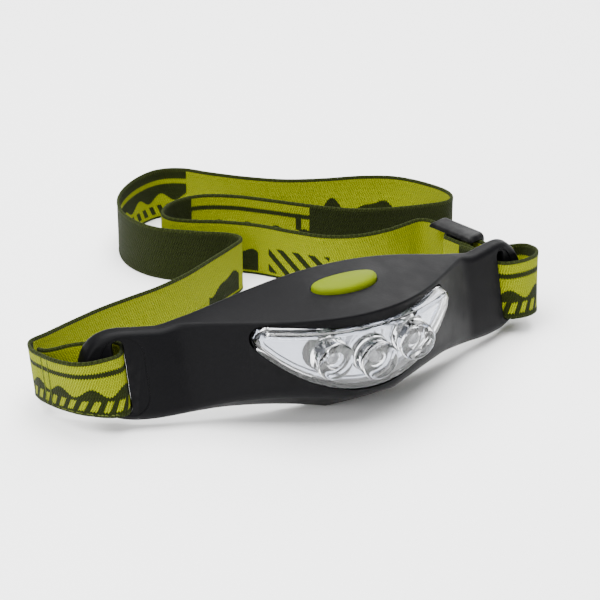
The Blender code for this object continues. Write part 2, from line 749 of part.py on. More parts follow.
# The band's middle line in millimetres, from the sewn tail behind the left tab to the end that laps
# the slider's loop: x, y, height, and how far its upper edge leans to +X and to +Y, in degrees.
BAND_ROUTE = (
    (-88.3, 21.0, 13.4, -7, -4), (-87.3, 17.4, 13.9, -5, 0), (-84.9, 15.4, 14.4, -3, 4),
    (-80.6, 13.6, 15.0, 0, 10), (-75.5, 10.6, 15.8, 0, 14), (-71.0, 8.4, 16.0, 0, 16),
    (-68.2, 7.0, 16.0, 0, 16), (-66.9, 4.8, 16.0, 0, 16), (-67.6, 2.3, 16.0, 0, 16),
    (-68.7, -0.1, 16.0, 0, 16), (-70.7, -2.1, 16.0, 0, 16), (-75.0, -2.5, 16.2, 0, 10),
    (-80.0, -1.4, 16.5, -2, -1), (-84.4, 1.6, 16.4, -4, -7), (-87.8, 7.4, 15.8, -6, -8),
    (-89.8, 14.2, 14.9, -7, -6), (-90.6, 21.0, 13.9, -7, -4), (-88.6, 27.6, 12.6, -4, 0),
    (-81.6, 32.4, 11.3, 0, 0), (-70.5, 38.2, 10.3, 0, 0), (-59.0, 42.6, 10.0, 0, 0),
    (-47.5, 45.4, 10.0, 0, 0), (-36.0, 48.0, 10.0, 0, 0), (-24.0, 52.4, 10.0, 0, 0),
    (-12.0, 58.8, 10.0, 0, 0), (-1.0, 64.9, 10.0, 0, 0), (5.4, 69.4, 10.0, 0, 0),
    (3.4, 74.8, 10.0, 0, 0), (-6.6, 81.8, 10.0, 0, 0), (-16.6, 90.2, 10.0, 0, 0),
    (-21.8, 100.0, 10.0, 0, 0), (-22.4, 111.0, 10.0, 0, 0), (-18.0, 122.6, 10.0, 0, 0),
    (-8.4, 132.4, 10.0, 0, 0), (3.0, 137.4, 10.0, 0, 0), (12.6, 134.4, 10.0, 0, 0),
    (20.0, 126.4, 10.0, 0, 0), (30.0, 116.6, 10.0, 0, 0), (42.0, 107.4, 10.0, 0, 0),
    (55.0, 101.6, 10.0, 0, 0), (69.0, 97.0, 10.0, 0, 0), (80.4, 90.2, 10.0, 0, 0),
    (87.8, 79.0, 10.0, 0, 0), (90.4, 69.4, 10.0, 0, 0), (86.6, 63.4, 10.0, 0, 0),
    (76.0, 64.4, 10.0, 0, 0), (62.0, 68.2, 10.0, 0, 0), (50.0, 74.2, 10.0, 0, 0),
    (40.0, 83.0, 10.0, 0, 0), (29.6, 93.6, 10.0, 0, 0), (19.0, 103.6, 10.0, 0, 0),
    (8.0, 109.4, 10.0, 0, 0), (-2.6, 108.6, 10.0, 0, 0), (-9.6, 103.0, 10.0, 0, 0),
    (-9.8, 96.8, 10.0, 0, 0), (-4.2, 91.4, 10.0, 0, 0), (6.0, 85.2, 10.0, 0, 0),
    (16.0, 76.6, 10.0, 0, 0), (24.2, 66.4, 10.0, 0, 0), (32.4, 57.8, 10.0, 0, 0),
    (42.4, 52.6, 10.2, 0, 0), (53.0, 50.6, 10.8, 0, 0), (61.0, 50.9, 11.4, 0, 0),
    (66.4, 51.2, 11.8, 0, 0), (69.4, 48.7, 12.0, 0, 0), (70.9, 43.8, 12.0, 0, 0),
    (73.6, 34.9, 12.0, 0, 0), (78.2, 19.7, 12.1, 0, 0), (79.6, 17.2, 12.6, 2, 0),
    (82.2, 15.3, 13.2, 5, 2), (85.0, 12.4, 13.9, 9, 5), (85.9, 7.8, 14.5, 11, 8),
    (84.9, 2.8, 15.1, 8, 11), (82.0, -1.0, 15.6, 4, 14), (77.5, -2.9, 15.9, 1, 16),
    (73.4, -2.9, 16.0, 0, 16), (70.7, -2.1, 16.0, 0, 16), (68.7, -0.1, 16.0, 0, 16),
    (67.6, 2.3, 16.0, 0, 16), (66.9, 4.8, 16.0, 0, 16), (67.1, 8.4, 15.6, 0, 15),
    (67.8, 12.6, 14.6, 0, 9), (69.0, 16.4, 13.4, 0, 4), (69.8, 19.4, 12.6, 0, 1),
    (69.2, 22.5, 12.2, 0, 0), (68.3, 25.5, 12.0, 0, 0),
)


def smooth_route(rows, step):
    """Rows of numbers, the first three of each a place, with places no further apart than step."""
    first = [2 * near - far for near, far in zip(rows[0], rows[1])]
    last = [2 * near - far for near, far in zip(rows[-1], rows[-2])]
    rows = [first, *rows, last]
    smoothed = []
    for before, start, end, after in zip(rows, rows[1:], rows[2:], rows[3:]):
        count = max(1, math.ceil(math.dist(start[:3], end[:3]) / step))
        for index in range(count):
            t = index / count
            smoothed.append([
                0.5 * (2 * q + (r - p) * t + (2 * p - 5 * q + 4 * r - s) * t * t
                       + (3 * q - p - 3 * r + s) * t ** 3)
                for p, q, r, s in zip(before, start, end, after)])
    smoothed.append(list(rows[-2]))
    return smoothed


def ribbon(points, width, thickness, leans=None):
    """A flat strap on edge along points, its upper edge leaning to +X and +Y by leans."""
    rings = []
    for index, point in enumerate(points):
        before = points[max(0, index - 1)]
        after = points[min(len(points) - 1, index + 1)]
        along = (after - before).xy.normalized()
        side = Vector((along.y, -along.x, 0)) * thickness / 2
        lean = leans[index] if leans else (0, 0)
        up = Vector((math.tan(lean[0]), math.tan(lean[1]), 1)).normalized() * width / 2
        rings.append([point - up - side, point - up + side, point + up + side, point + up - side])
    return loft(rings)


def headband():
    rows = smooth_route(BAND_ROUTE, BAND_STEP / MM)
    points = [Vector(row[:3]) * MM for row in rows]
    leans = [[math.radians(angle) for angle in row[3:]] for row in rows]
    shape = ribbon(points, BAND_WIDTH, BAND_THICKNESS, leans)
    part = add_part("headband", shape, "band")
    smooth(part)
    return part


def slider_place():
    """The slider's middle: X along the band towards the tab, Y out of the loop, Z up."""
    way = Vector((*SLIDER_WAY, 0)).normalized()
    out = Vector((-way.y, way.x, 0))
    place = Matrix((way, out, Vector((0, 0, 1)))).transposed().to_4x4()
    place.translation = Vector(SLIDER_AT) * MM
    return place


def bar_depth():
    """The middle bar's axis behind the band: two layers of band and their play away."""
    return -(1.5 * BAND_THICKNESS + 3 * GAP + SLIDER_BAR / 2)


def slider():
    """A three-bar slider: two outer bars over the band, one middle bar behind it."""
    outer = BAND_THICKNESS / 2 + GAP
    bar_in = bar_depth()
    thick = 1.6 * MM
    place = slider_place()
    front = outer + thick
    back = bar_in - SLIDER_BAR / 2
    part = add_part("slider_buckle", box((SLIDER_LENGTH, front - back, SLIDER_HEIGHT),
                                         (0, (front + back) / 2, 0)), "black", place)
    inner_height = BAND_WIDTH + 2 * GAP
    depth = 2 * (front - back)
    side = SLIDER_LENGTH / 2 - SLIDER_BAR
    behind = box((SLIDER_LENGTH * 2, depth, inner_height), (0, outer - depth / 2, 0))
    combine(part, add_cutter("cut_slider_behind", behind, place))
    window = box((2 * side, depth * 2, inner_height))
    combine(part, add_cutter("cut_slider_window", window, place))
    bar = prism(rounded_polygon([(SLIDER_BAR / 2 * a, bar_in + SLIDER_BAR / 2 * b, 0.6 * MM)
                                 for a, b in ((-1, -1), (1, -1), (1, 1), (-1, 1))], 2),
                -inner_height / 2 - 0.4 * MM, inner_height / 2 + 0.4 * MM)
    combine(part, add_cutter("add_slider_bar", bar, place), "UNION")
    rounding = part.modifiers.new("rounding", "BEVEL")
    rounding.width = 0.5 * MM
    rounding.segments = 2
    rounding.limit_method = "ANGLE"
    return part


def strap_end_loop():
    """The band's end, sewn round the slider's middle bar."""
    layer = BAND_THICKNESS + GAP
    bar = bar_depth()
    reach = SLIDER_BAR / 2 + BAND_THICKNESS / 2 + GAP
    near = bar + reach
    far = bar - reach
    turn = reach + 0.15 * MM
    rows = [(9.5 * MM, far + layer, 0), (6.4 * MM, far + layer + 0.2 * MM, 0),
            (3.6 * MM, near - 0.5 * MM, 0), (1.2 * MM, near, 0), (-1.0 * MM, near - 0.1 * MM, 0),
            (-turn, bar, 0), (-1.0 * MM, far + 0.1 * MM, 0), (1.2 * MM, far, 0),
            (6.0 * MM, far, 0), (13.5 * MM, far, 0)]
    points = [Vector(row) for row in smooth_route(rows, 2 * MM)]
    part = add_part("strap_end_loop", ribbon(points, BAND_WIDTH, BAND_THICKNESS), "band",
                    slider_place())
    smooth(part)
    return part


# ---------------------------------------------------------------- assembly

def stand_on_origin():
    """Moves the frame so that the object's box stands on the origin."""
    bpy.context.view_layer.update()
    graph = bpy.context.evaluated_depsgraph_get()
    corners = []
    for part in FRAME.children:
        if part.name in CUTTERS.objects:
            continue
        shape = part.evaluated_get(graph)
        mesh = shape.to_mesh()
        corners += [shape.matrix_world @ vertex.co for vertex in mesh.vertices]
        shape.to_mesh_clear()
    for axis in (0, 1):
        values = [corner[axis] for corner in corners]
        FRAME.location[axis] = -(min(values) + max(values)) / 2
    FRAME.location[2] = -min(corner[2] for corner in corners)


clear_scene()
PARTS = new_collection("headlamp")
CUTTERS = new_collection("cutters")
FRAME = bpy.data.objects.new("lamp_frame", None)
PARTS.objects.link(FRAME)

front_housing()
rear_cover()
battery_door()
cover_screws()
lens()
reflector()
leds()
boards()
push_button()
spacer_plunger()
cells()
cradle()
contacts()
headband()
slider()
strap_end_loop()
stand_on_origin()
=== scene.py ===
"""Looks of a three-lamp headlamp that stands on its sole with its headband folded behind it.

Shapes are worked out in lamp millimetres: the forehead side's middle line is x = 0, the beam
leaves along -Y and the sole lies at z = 0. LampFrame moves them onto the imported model.
"""
import json
import logging
import math
from dataclasses import dataclass, field
from enum import Enum
from typing import ClassVar, Sequence

import bmesh
import bpy
from mathutils import Matrix, Vector

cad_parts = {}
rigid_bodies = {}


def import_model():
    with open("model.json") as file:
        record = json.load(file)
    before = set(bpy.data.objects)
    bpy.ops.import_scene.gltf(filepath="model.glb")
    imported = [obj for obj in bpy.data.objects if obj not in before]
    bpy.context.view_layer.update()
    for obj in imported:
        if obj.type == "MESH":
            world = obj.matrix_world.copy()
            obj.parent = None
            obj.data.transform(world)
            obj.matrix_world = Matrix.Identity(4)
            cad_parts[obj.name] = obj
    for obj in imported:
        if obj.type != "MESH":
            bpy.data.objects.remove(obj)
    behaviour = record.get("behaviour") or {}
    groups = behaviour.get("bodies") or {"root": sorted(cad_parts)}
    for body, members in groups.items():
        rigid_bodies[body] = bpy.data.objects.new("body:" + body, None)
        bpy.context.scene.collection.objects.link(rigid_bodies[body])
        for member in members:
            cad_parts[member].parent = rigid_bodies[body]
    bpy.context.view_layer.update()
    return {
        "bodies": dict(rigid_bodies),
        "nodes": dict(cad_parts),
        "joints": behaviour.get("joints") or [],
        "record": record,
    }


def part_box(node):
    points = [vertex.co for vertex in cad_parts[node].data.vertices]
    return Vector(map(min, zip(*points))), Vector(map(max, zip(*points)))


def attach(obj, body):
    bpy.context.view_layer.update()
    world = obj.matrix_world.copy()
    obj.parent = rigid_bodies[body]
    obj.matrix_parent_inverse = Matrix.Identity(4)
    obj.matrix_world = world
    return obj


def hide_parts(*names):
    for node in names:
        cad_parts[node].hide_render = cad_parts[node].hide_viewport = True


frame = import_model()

LOG = logging.getLogger("headlamp")
MM = 0.001
Point = tuple[float, float]
Colour = tuple[float, float, float]
Skin = bmesh.types.BMesh
Piece = bpy.types.Object
Material = bpy.types.Material
Node = bpy.types.Node
Socket = bpy.types.NodeSocket
Tree = bpy.types.NodeTree


def span(start: float, stop: float, count: int) -> list[float]:
    """Evenly spaced values from start to stop, both included."""
    return [start + (stop - start) * index / count for index in range(count + 1)]


def swell(x: float, half: float, power: float) -> float:
    """1 on the centre line, falling smoothly to 0 at half."""
    ratio = min(1.0, abs(x) / half)
    return (1 - ratio * ratio) ** power


# ---------------------------------------------------------------- outlines and skins

def rounded_polygon(corners: Sequence[tuple[float, float, float]], steps: int = 8) -> list[Point]:
    """Turns a polygon's corners into arcs.

    Args:
        corners: each corner as two coordinates and the radius of its arc.
        steps: straight pieces in each arc.

    Returns:
        The outline's points in order.
    """
    points = []
    for index, (a, b, radius) in enumerate(corners):
        here = Vector((a, b))
        before = Vector(corners[index - 1][:2]) - here
        after = Vector(corners[(index + 1) % len(corners)][:2]) - here
        if radius <= 0:
            points.append((a, b))
            continue
        half = before.angle(after) / 2
        reach = min(radius / math.tan(half), 0.48 * min(before.length, after.length))
        radius = reach * math.tan(half)
        bisector = (before.normalized() + after.normalized()).normalized()
        centre = here + bisector * (radius / math.sin(half))
        first = here + before.normalized() * reach - centre
        second = here + after.normalized() * reach - centre
        turn = -first.angle_signed(second)
        for step in range(steps + 1):
            angle = turn * step / steps
            points.append((centre.x + first.x * math.cos(angle) - first.y * math.sin(angle),
                           centre.y + first.x * math.sin(angle) + first.y * math.cos(angle)))
    return points


def resample(outline: Sequence[Point], count: int) -> list[Point]:
    """Spreads a closed outline's points evenly.

    Args:
        outline: the points of the outline.
        count: how many points the result has.

    Returns:
        Points at equal distances along the outline, from its first point.
    """
    closed = [Vector(point) for point in (*outline, outline[0])]
    lengths = [(b - a).length for a, b in zip(closed, closed[1:])]
    total = sum(lengths)
    points = []
    index, passed = 0, 0.0
    for number in range(count):
        target = total * number / count
        while passed + lengths[index] < target:
            passed += lengths[index]
            index += 1
        share = (target - passed) / max(lengths[index], 1e-9)
        points.append(tuple(closed[index].lerp(closed[index + 1], share)))
    return points


def racetrack(width: float, height: float, steps: int = 16) -> list[Point]:
    """An upright slot outline with round ends."""
    radius = width / 2
    points = []
    for centre, start in ((height / 2 - radius, 0.0), (radius - height / 2, math.pi)):
        for angle in span(start, start + math.pi, steps):
            points.append((radius * math.cos(angle), centre + radius * math.sin(angle)))
    return points


def skin(rings: Sequence[Sequence[Vector]]) -> Skin:
    """Lays a closed skin over rings.

    Args:
        rings: rings of equally many points; a ring of one point closes the skin in a fan.

    Returns:
        The skin, with flat ends where the first and last rings aren't single points.
    """
    mesh = bmesh.new()
    loops = [[mesh.verts.new(point) for point in ring] for ring in rings]
    count = max(len(loop) for loop in loops)
    for lower, upper in zip(loops, loops[1:]):
        for index in range(count):
            after = (index + 1) % count
            corners = (lower[index % len(lower)], lower[after % len(lower)],
                       upper[after % len(upper)], upper[index % len(upper)])
            mesh.faces.new(list(dict.fromkeys(corners)))
    for end in (loops[0], loops[-1]):
        if len(end) > 2:
            mesh.faces.new(end)
    bmesh.ops.recalc_face_normals(mesh, faces=mesh.faces)
    return mesh


def stack(levels: Sequence[tuple[Sequence[Point], float]]) -> Skin:
    """Lays a skin over flat outlines, each at its own height."""
    return skin([[Vector((a, b, height)) for a, b in outline] for outline, height in levels])


def turned(profile: Sequence[Point], segments: int = 48) -> Skin:
    """Turns a profile of (radius, height) points about +Z into a closed skin."""
    rings = []
    for radius, height in profile:
        if radius < 1e-6:
            rings.append([Vector((0, 0, height))])
            continue
        rings.append([Vector((radius * math.cos(angle), radius * math.sin(angle), height))
                      for angle in span(0, 2 * math.pi, segments)[:-1]])
    return skin(rings)


def passed(value: float, start: float, stop: float) -> float:
    """How much of the way from start to stop a value has come, from 0 to 1."""
    return min(1.0, max(0.0, (value - start) / (stop - start)))


def axes(x_way: Vector, y_way: Vector, z_way: Vector, at: Vector) -> Matrix:
    """A place with the given directions of X, Y and Z."""
    place = Matrix((x_way, y_way, z_way)).transposed().to_4x4()
    place.translation = at
    return place


def facing_forward(x: float, y: float, z: float) -> Matrix:
    """A place whose Z points out of the lens."""
    return Matrix.Translation((x, y, z)) @ Matrix.Rotation(math.radians(90), 4, "X")


# ---------------------------------------------------------------- making pieces

def mesh_data(name: str, mesh: Skin) -> bpy.types.Mesh:
    """Turns a skin, which is used up, into mesh data."""
    data = bpy.data.meshes.new(name)
    mesh.to_mesh(data)
    mesh.free()
    return data


def link_object(name: str, data: bpy.types.ID) -> Piece:
    """Puts data into the scene as a new object."""
    made = bpy.data.objects.new(name, data)
    bpy.context.scene.collection.objects.link(made)
    return made


@dataclass(frozen=True)
class LampFrame:
    """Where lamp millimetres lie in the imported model."""

    shift: Vector

    @classmethod
    def from_model(cls) -> "LampFrame":
        """Reads the shift from the middle lamp, whose flange seats behind the lens."""
        low, high = (Vector(corner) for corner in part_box("led_middle"))
        middle = (low + high) / 2
        return cls(Vector((middle.x, high.y, middle.z))
                   - MM * Vector((0, Optics.flange_y, Optics.lamp_heights[1])))

    def matrix(self) -> Matrix:
        """The matrix from lamp millimetres to the model's metres."""
        return Matrix.Translation(self.shift) @ Matrix.Scale(MM, 4)


class Workshop:
    """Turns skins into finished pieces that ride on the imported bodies."""

    def __init__(self, lamp_frame: LampFrame) -> None:
        """Keeps the frame that the pieces are moved onto."""
        self.to_model = lamp_frame.matrix()

    def block(self, mesh: Skin, place: Matrix | None = None) -> Piece:
        """Makes an object of a skin.

        Args:
            mesh: the skin, which is used up.
            place: where the skin goes, in lamp millimetres.

        Returns:
            The new object, linked to the scene.
        """
        if place is not None:
            bmesh.ops.transform(mesh, matrix=place, verts=mesh.verts)
        return link_object("block", mesh_data("block", mesh))

    def combine(self, target: Piece, others: Sequence[Piece],
                operation: str = "DIFFERENCE") -> None:
        """Joins or cuts a piece with others, which are used up.

        Args:
            target: the piece that is changed.
            others: the shapes that join, cut or keep it.
            operation: the Boolean operation.
        """
        for other in others:
            modifier = target.modifiers.new("work", "BOOLEAN")
            modifier.operation = operation
            modifier.object = other
            modifier.solver = "EXACT"
            self.settle(target)
            bpy.data.objects.remove(other)

    def settle(self, target: Piece) -> None:
        """Applies a piece's modifiers."""
        graph = bpy.context.evaluated_depsgraph_get()
        graph.update()
        result = bpy.data.meshes.new_from_object(target.evaluated_get(graph))
        target.modifiers.clear()
        old = target.data
        target.data = result
        bpy.data.meshes.remove(old)

    def finish(self, piece: Piece, name: str, body: str, slot: str,
               materials: Sequence[Material], replaces: Sequence[str] = (),
               angle: float = 35) -> Piece:
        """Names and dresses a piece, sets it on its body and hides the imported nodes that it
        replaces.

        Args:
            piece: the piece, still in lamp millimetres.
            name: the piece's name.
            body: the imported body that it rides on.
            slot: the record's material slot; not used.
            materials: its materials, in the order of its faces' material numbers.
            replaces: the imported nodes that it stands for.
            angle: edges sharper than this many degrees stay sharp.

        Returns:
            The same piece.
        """
        piece.name = name
        piece.data.name = name
        piece.data.transform(self.to_model)
        for material in materials:
            piece.data.materials.append(material)
        piece.data.shade_smooth()
        piece.data.set_sharp_from_angle(angle=math.radians(angle))
        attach(piece, body)
        if replaces:
            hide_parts(*replaces)
        LOG.info("%s: %d faces on %s", name, len(piece.data.polygons), body)
        return piece


# ---------------------------------------------------------------- shapes of the casing

@dataclass(frozen=True)
class CasingShape:
    """Sizes of the moulded casing and the surfaces that they give, in lamp millimetres."""

    forehead_radius: float = 170.0
    rear_depth: float = -9.2
    mid_height: float = 16.0
    recline: float = math.radians(16)
    wing_thickness: float = 7.0
    body_bulge: float = 19.8
    body_half: float = 52.0
    body_power: float = 1.35
    nose_lean: float = 0.05
    tab_start: float = 66.0
    tab_end: float = 80.5
    tab_power: float = 2.4
    wing_top: float = 31.5
    crown_rise: float = 12.0
    crown_half: float = 57.0
    crown_power: float = 1.25
    brow_drop: float = 4.2
    brow_half: float = 50.0
    brow_step: float = 0.8
    sole_half: float = 8.0
    arch_start: float = 40.0
    arch_rise: float = 5.2
    tab_lift: float = 2.9
    chin_depth: float = 18.6
    chin_height: float = 12.0
    edge: float = 2.6
    rear_edge: float = 1.4
    least_edge: float = 0.4
    wall: float = 2.0
    cavity_half: float = 50.0
    slot_x: float = 66.6

    def rear_y(self, x: float, z: float) -> float:
        """The forehead side: an arc seen from above, leaning back with height."""
        sagitta = self.forehead_radius - math.sqrt(self.forehead_radius ** 2 - x * x)
        return self.rear_depth + sagitta + (z - self.mid_height) * math.tan(self.recline)

    def bulge(self, x: float) -> float:
        """1 in the middle of the body, 0 at its sides."""
        return swell(x, self.body_half, self.body_power)

    def front_y(self, x: float, z: float) -> float:
        """The face that the lens sits in."""
        bulge = self.bulge(x)
        lean = math.tan(self.recline) * (1 - bulge) + self.nose_lean * bulge
        return (self.rear_y(x, self.mid_height) - self.wing_thickness
                - self.body_bulge * bulge + (z - self.mid_height) * lean)

    def top_z(self, x: float) -> float:
        """Height of the back ridge."""
        return self.wing_top + self.crown_rise * swell(x, self.crown_half, self.crown_power)

    def bottom_z(self, x: float) -> float:
        """Height of the underside."""
        rise = passed(abs(x), self.sole_half, self.arch_start)
        fall = passed(abs(x), self.arch_start, self.tab_start)
        return (self.arch_rise * rise * (2 - rise)
                - (self.arch_rise - self.tab_lift) * fall ** 2 * (3 - 2 * fall))

    def section(self, x: float, inset: float = 0.0, behind: float = 0.0) -> list[Vector]:
        """The casing's outline across x.

        Args:
            x: where the section is taken.
            inset: how far the outline moves in.
            behind: how far its forehead side moves back.

        Returns:
            The outline's points.
        """
        reach = passed(abs(x), self.tab_start, self.tab_end)
        share = (1 - reach ** self.tab_power) ** (1 / self.tab_power)
        low = self.mid_height - (self.mid_height - self.bottom_z(x)) * share + inset
        high = self.mid_height + (self.top_z(x) - self.mid_height) * share - inset
        body = self.bulge(x)
        brow = high - self.brow_drop * swell(x, self.brow_half, 1.0)
        brow_y = self.front_y(x, brow) + inset + self.brow_step * body
        rise = (high - brow) / (self.rear_y(x, high) - brow_y) * behind
        chin = low + self.edge + (self.chin_height - self.edge) * body
        chin_y = self.front_y(x, low) + self.edge + (self.chin_depth - self.edge) * body + inset
        under = max(self.least_edge, self.edge + 2 * body - inset)
        rear_edge = max(self.least_edge, self.rear_edge - inset)
        back_edge = max(self.least_edge, self.edge - inset)
        brow_edge = self.edge - (self.edge - self.brow_step) * body ** 0.3
        corners = ((self.rear_y(x, low) + behind, low, rear_edge),
                   (chin_y, low, under),
                   (self.front_y(x, chin) + inset, chin, under),
                   (brow_y, brow, brow_edge),
                   (self.rear_y(x, high) + behind, high + rise, back_edge))
        return [Vector((x, y, z)) for y, z in rounded_polygon(corners)]

    def slot_place(self, side: int) -> Matrix:
        """The middle of a tab's slot: its Y runs up the slot, its Z out of the back."""
        x = side * self.slot_x
        slope = x / math.sqrt(self.forehead_radius ** 2 - x * x)
        up = Vector((0, math.sin(self.recline), math.cos(self.recline)))
        through = Vector((-slope, math.cos(self.recline), -math.sin(self.recline))).normalized()
        rear = Vector((x, self.rear_y(x, self.mid_height), self.mid_height))
        return axes(up.cross(through), up, through, rear - through * self.wing_thickness / 2)


@dataclass(frozen=True)
class LensShape:
    """The lens seen from the front and from above, in lamp millimetres."""

    bend: float = 52.0
    face_y: float = -36.3
    top: float = 35.4
    bottom: float = 14.0
    arc: float = 47.0
    corner: float = 4.5
    wall: float = 1.7
    depth: float = 5.0
    rounding: float = 1.3
    inner_edge: float = 0.4
    middle: float = 26.0

    def face(self, x: float) -> float:
        """How far back the face lies at x."""
        return self.face_y + self.bend - math.sqrt(self.bend ** 2 - x * x)

    def outline(self, grow: float) -> list[Point]:
        """The outline as (x, z), a straight top over a deep lower arc, moved out by grow."""
        radius = self.arc + grow
        centre = self.bottom + self.arc
        corner = self.corner + grow
        drop = centre - (self.top + grow) + corner
        side = math.sqrt((radius - corner) ** 2 - drop ** 2)
        limit = math.atan2(side, drop)
        points = [(side + corner * math.sin(angle), centre - drop + corner * math.cos(angle))
                  for angle in span(0, math.pi - limit, 12)]
        points += [(radius * math.sin(angle), centre - radius * math.cos(angle))
                   for angle in span(limit, -limit, 40)[1:]]
        points += [(-side - corner * math.sin(angle), centre - drop + corner * math.cos(angle))
                   for angle in span(math.pi - limit, 0, 12)[1:]]
        points += [(x, self.top + grow) for x in span(-side, side, 24)[1:-1]]
        return points

    def ring(self, grow: float, depth: float, scale: float = 1.0) -> list[Vector]:
        """The outline on a bent surface behind the face.

        Args:
            grow: how far the outline is moved out.
            depth: how far the surface lies behind the face.
            scale: size of the ring about the lens's middle, 0 for its middle point.

        Returns:
            The ring's points.
        """
        if scale == 0:
            return [Vector((0, self.face(0) + depth, self.middle))]
        return [Vector((x * scale, self.face(x * scale) + depth,
                        self.middle + (z - self.middle) * scale))
                for x, z in self.outline(grow)]

    def shell(self, outside: float, front: float, back: float) -> Skin:
        """A bent block with the lens's outline between two depths."""
        scales = span(0, 1, 10)
        rings = [self.ring(outside, front, scale) for scale in scales]
        rings += [self.ring(outside, back, scale) for scale in reversed(scales)]
        return skin(rings)


@dataclass(frozen=True)
class Optics:
    """Places and sizes of the three lamps, in lamp millimetres."""

    flange_y: ClassVar[float] = -27.3
    lamp_heights: ClassVar[tuple[float, ...]] = (27.2, 24.8, 27.2)
    pitch: float = 14.4
    dome_radius: float = 6.3
    dome_proud: float = 4.2
    dome_rim: float = 1.1
    dome_foot: float = 1.0
    seat_margin: float = 1.3
    pocket: float = 3.2
    led_length: float = 8.6
    led_play: float = 0.3

    def places(self) -> list[Point]:
        """Each lamp's x and height, from left to right."""
        return [((index - 1) * self.pitch, height)
                for index, height in enumerate(self.lamp_heights)]


# ---------------------------------------------------------------- finishes

class Graph:
    """Adds nodes to one tree and wires them up."""

    def __init__(self, tree: Tree) -> None:
        """Keeps the tree."""
        self.tree = tree

    def add(self, kind: str, feeds: dict | None = None, **settings) -> Node:
        """Adds a node.

        Args:
            kind: the node's type.
            feeds: a value or a socket for each named or numbered input.
            settings: the node's own settings.

        Returns:
            The node.
        """
        node = self.tree.nodes.new(kind)
        for name, value in settings.items():
            setattr(node, name, value)
        self.feed(node, feeds or {})
        return node

    def group(self, tree: Tree, feeds: dict) -> Node:
        """Uses a shared group."""
        return self.add("ShaderNodeGroup", feeds, node_tree=tree)

    def feed(self, node: Node, feeds: dict) -> None:
        """Wires each socket to its input and sets each plain value on its input."""
        for key, value in feeds.items():
            if isinstance(value, Socket):
                self.tree.links.new(value, node.inputs[key])
            else:
                node.inputs[key].default_value = value

    def calc(self, operation: str, *values) -> Socket:
        """A Math node's result for up to three values or sockets."""
        feeds = dict(enumerate(values))
        return self.add("ShaderNodeMath", feeds, operation=operation).outputs[0]

    def times(self, first, second) -> Socket:
        """The product of two values or sockets."""
        return self.calc("MULTIPLY", first, second)

    def wave(self, value, length: float, height: float) -> Socket:
        """A sine wave of a given length and height."""
        return self.times(self.calc("SINE", self.times(value, 2 * math.pi / length)), height)

    def ridges(self, value, pitch: float) -> Socket:
        """Round ridges from 0 to 1, one in every pitch."""
        return self.calc("ABSOLUTE", self.calc("SINE", self.times(value, math.pi / pitch)))

    def ramp(self, value, low: float, high: float, start: float = 0.0,
             end: float = 1.0) -> Socket:
        """A value carried smoothly from one range to another."""
        feeds = {0: value, 1: low, 2: high, 3: start, 4: end}
        return self.add("ShaderNodeMapRange", feeds, interpolation_type="SMOOTHSTEP").outputs[0]

    def within(self, value, low: float, high: float, soft: float) -> Socket:
        """1 where a value lies between low and high, with soft borders."""
        rise = self.ramp(value, low - soft, low + soft)
        fall = self.ramp(value, high - soft, high + soft, 1.0, 0.0)
        return self.times(rise, fall)

    def any_of(self, masks: Sequence[Socket]) -> Socket:
        """The highest of several masks."""
        result = masks[0]
        for mask in masks[1:]:
            result = self.calc("MAXIMUM", result, mask)
        return result

    def mix(self, share, first, second) -> Socket:
        """A colour between two colours."""
        first, second = (value if isinstance(value, Socket) else (*value, 1.0)
                         for value in (first, second))
        feeds = {0: share, 6: first, 7: second}
        return self.add("ShaderNodeMix", feeds, data_type="RGBA").outputs[2]

    def bump(self, shader: Node, height, strength: float, distance: float) -> None:
        """Bends the shader's normals by a height."""
        feeds = {"Height": height, "Strength": strength, "Distance": distance}
        self.feed(shader, {"Normal": self.add("ShaderNodeBump", feeds).outputs[0]})

    def noise(self, place, scale: float, detail: float = 3.0,
              rough: float = 0.5) -> Socket:
        """Cloudy values from 0 to 1."""
        feeds = {"Vector": place, "Scale": scale, "Detail": detail, "Roughness": rough}
        return self.add("ShaderNodeTexNoise", feeds).outputs[0]


def new_group(name: str, inputs: Sequence[tuple[str, str, float]],
              outputs: Sequence[tuple[str, str]]) -> tuple[Graph, dict, Node]:
    """Starts a shared node group.

    Args:
        name: the group's name.
        inputs: each input's name, type and value.
        outputs: each output's name and type.

    Returns:
        The group's graph, its inputs by name and its output node.
    """
    tree = bpy.data.node_groups.new(name, "ShaderNodeTree")
    for label, kind, value in inputs:
        socket = tree.interface.new_socket(label, in_out="INPUT", socket_type="NodeSocket" + kind)
        if kind == "Float":
            socket.default_value = value
    for label, kind in outputs:
        tree.interface.new_socket(label, in_out="OUTPUT", socket_type="NodeSocket" + kind)
    graph = Graph(tree)
    entry = graph.add("NodeGroupInput")
    given = {label: entry.outputs[label] for label, _, _ in inputs}
    return graph, given, graph.add("NodeGroupOutput")


def new_material(name: str) -> tuple[Material, Graph, Node]:
    """Starts a material: itself, its graph and its shader."""
    material = bpy.data.materials.new(name)
    material.use_nodes = True
    return material, Graph(material.node_tree), material.node_tree.nodes["Principled BSDF"]


# Where each part of the band's pattern lies, in millimetres along it from its sewn tail.
FRAMED_ZONES = ((30.0, 80.0), (246.0, 288.0), (452.0, 497.0), (655.0, 700.0))
MOTIF_ZONES = ((162.0, 180.0), (335.0, 375.0), (545.0, 553.0), (585.0, 592.0))
BARRED_ZONE = (557.0, 580.0)
CLOSING_STRIPE = (455.0, 457.2)


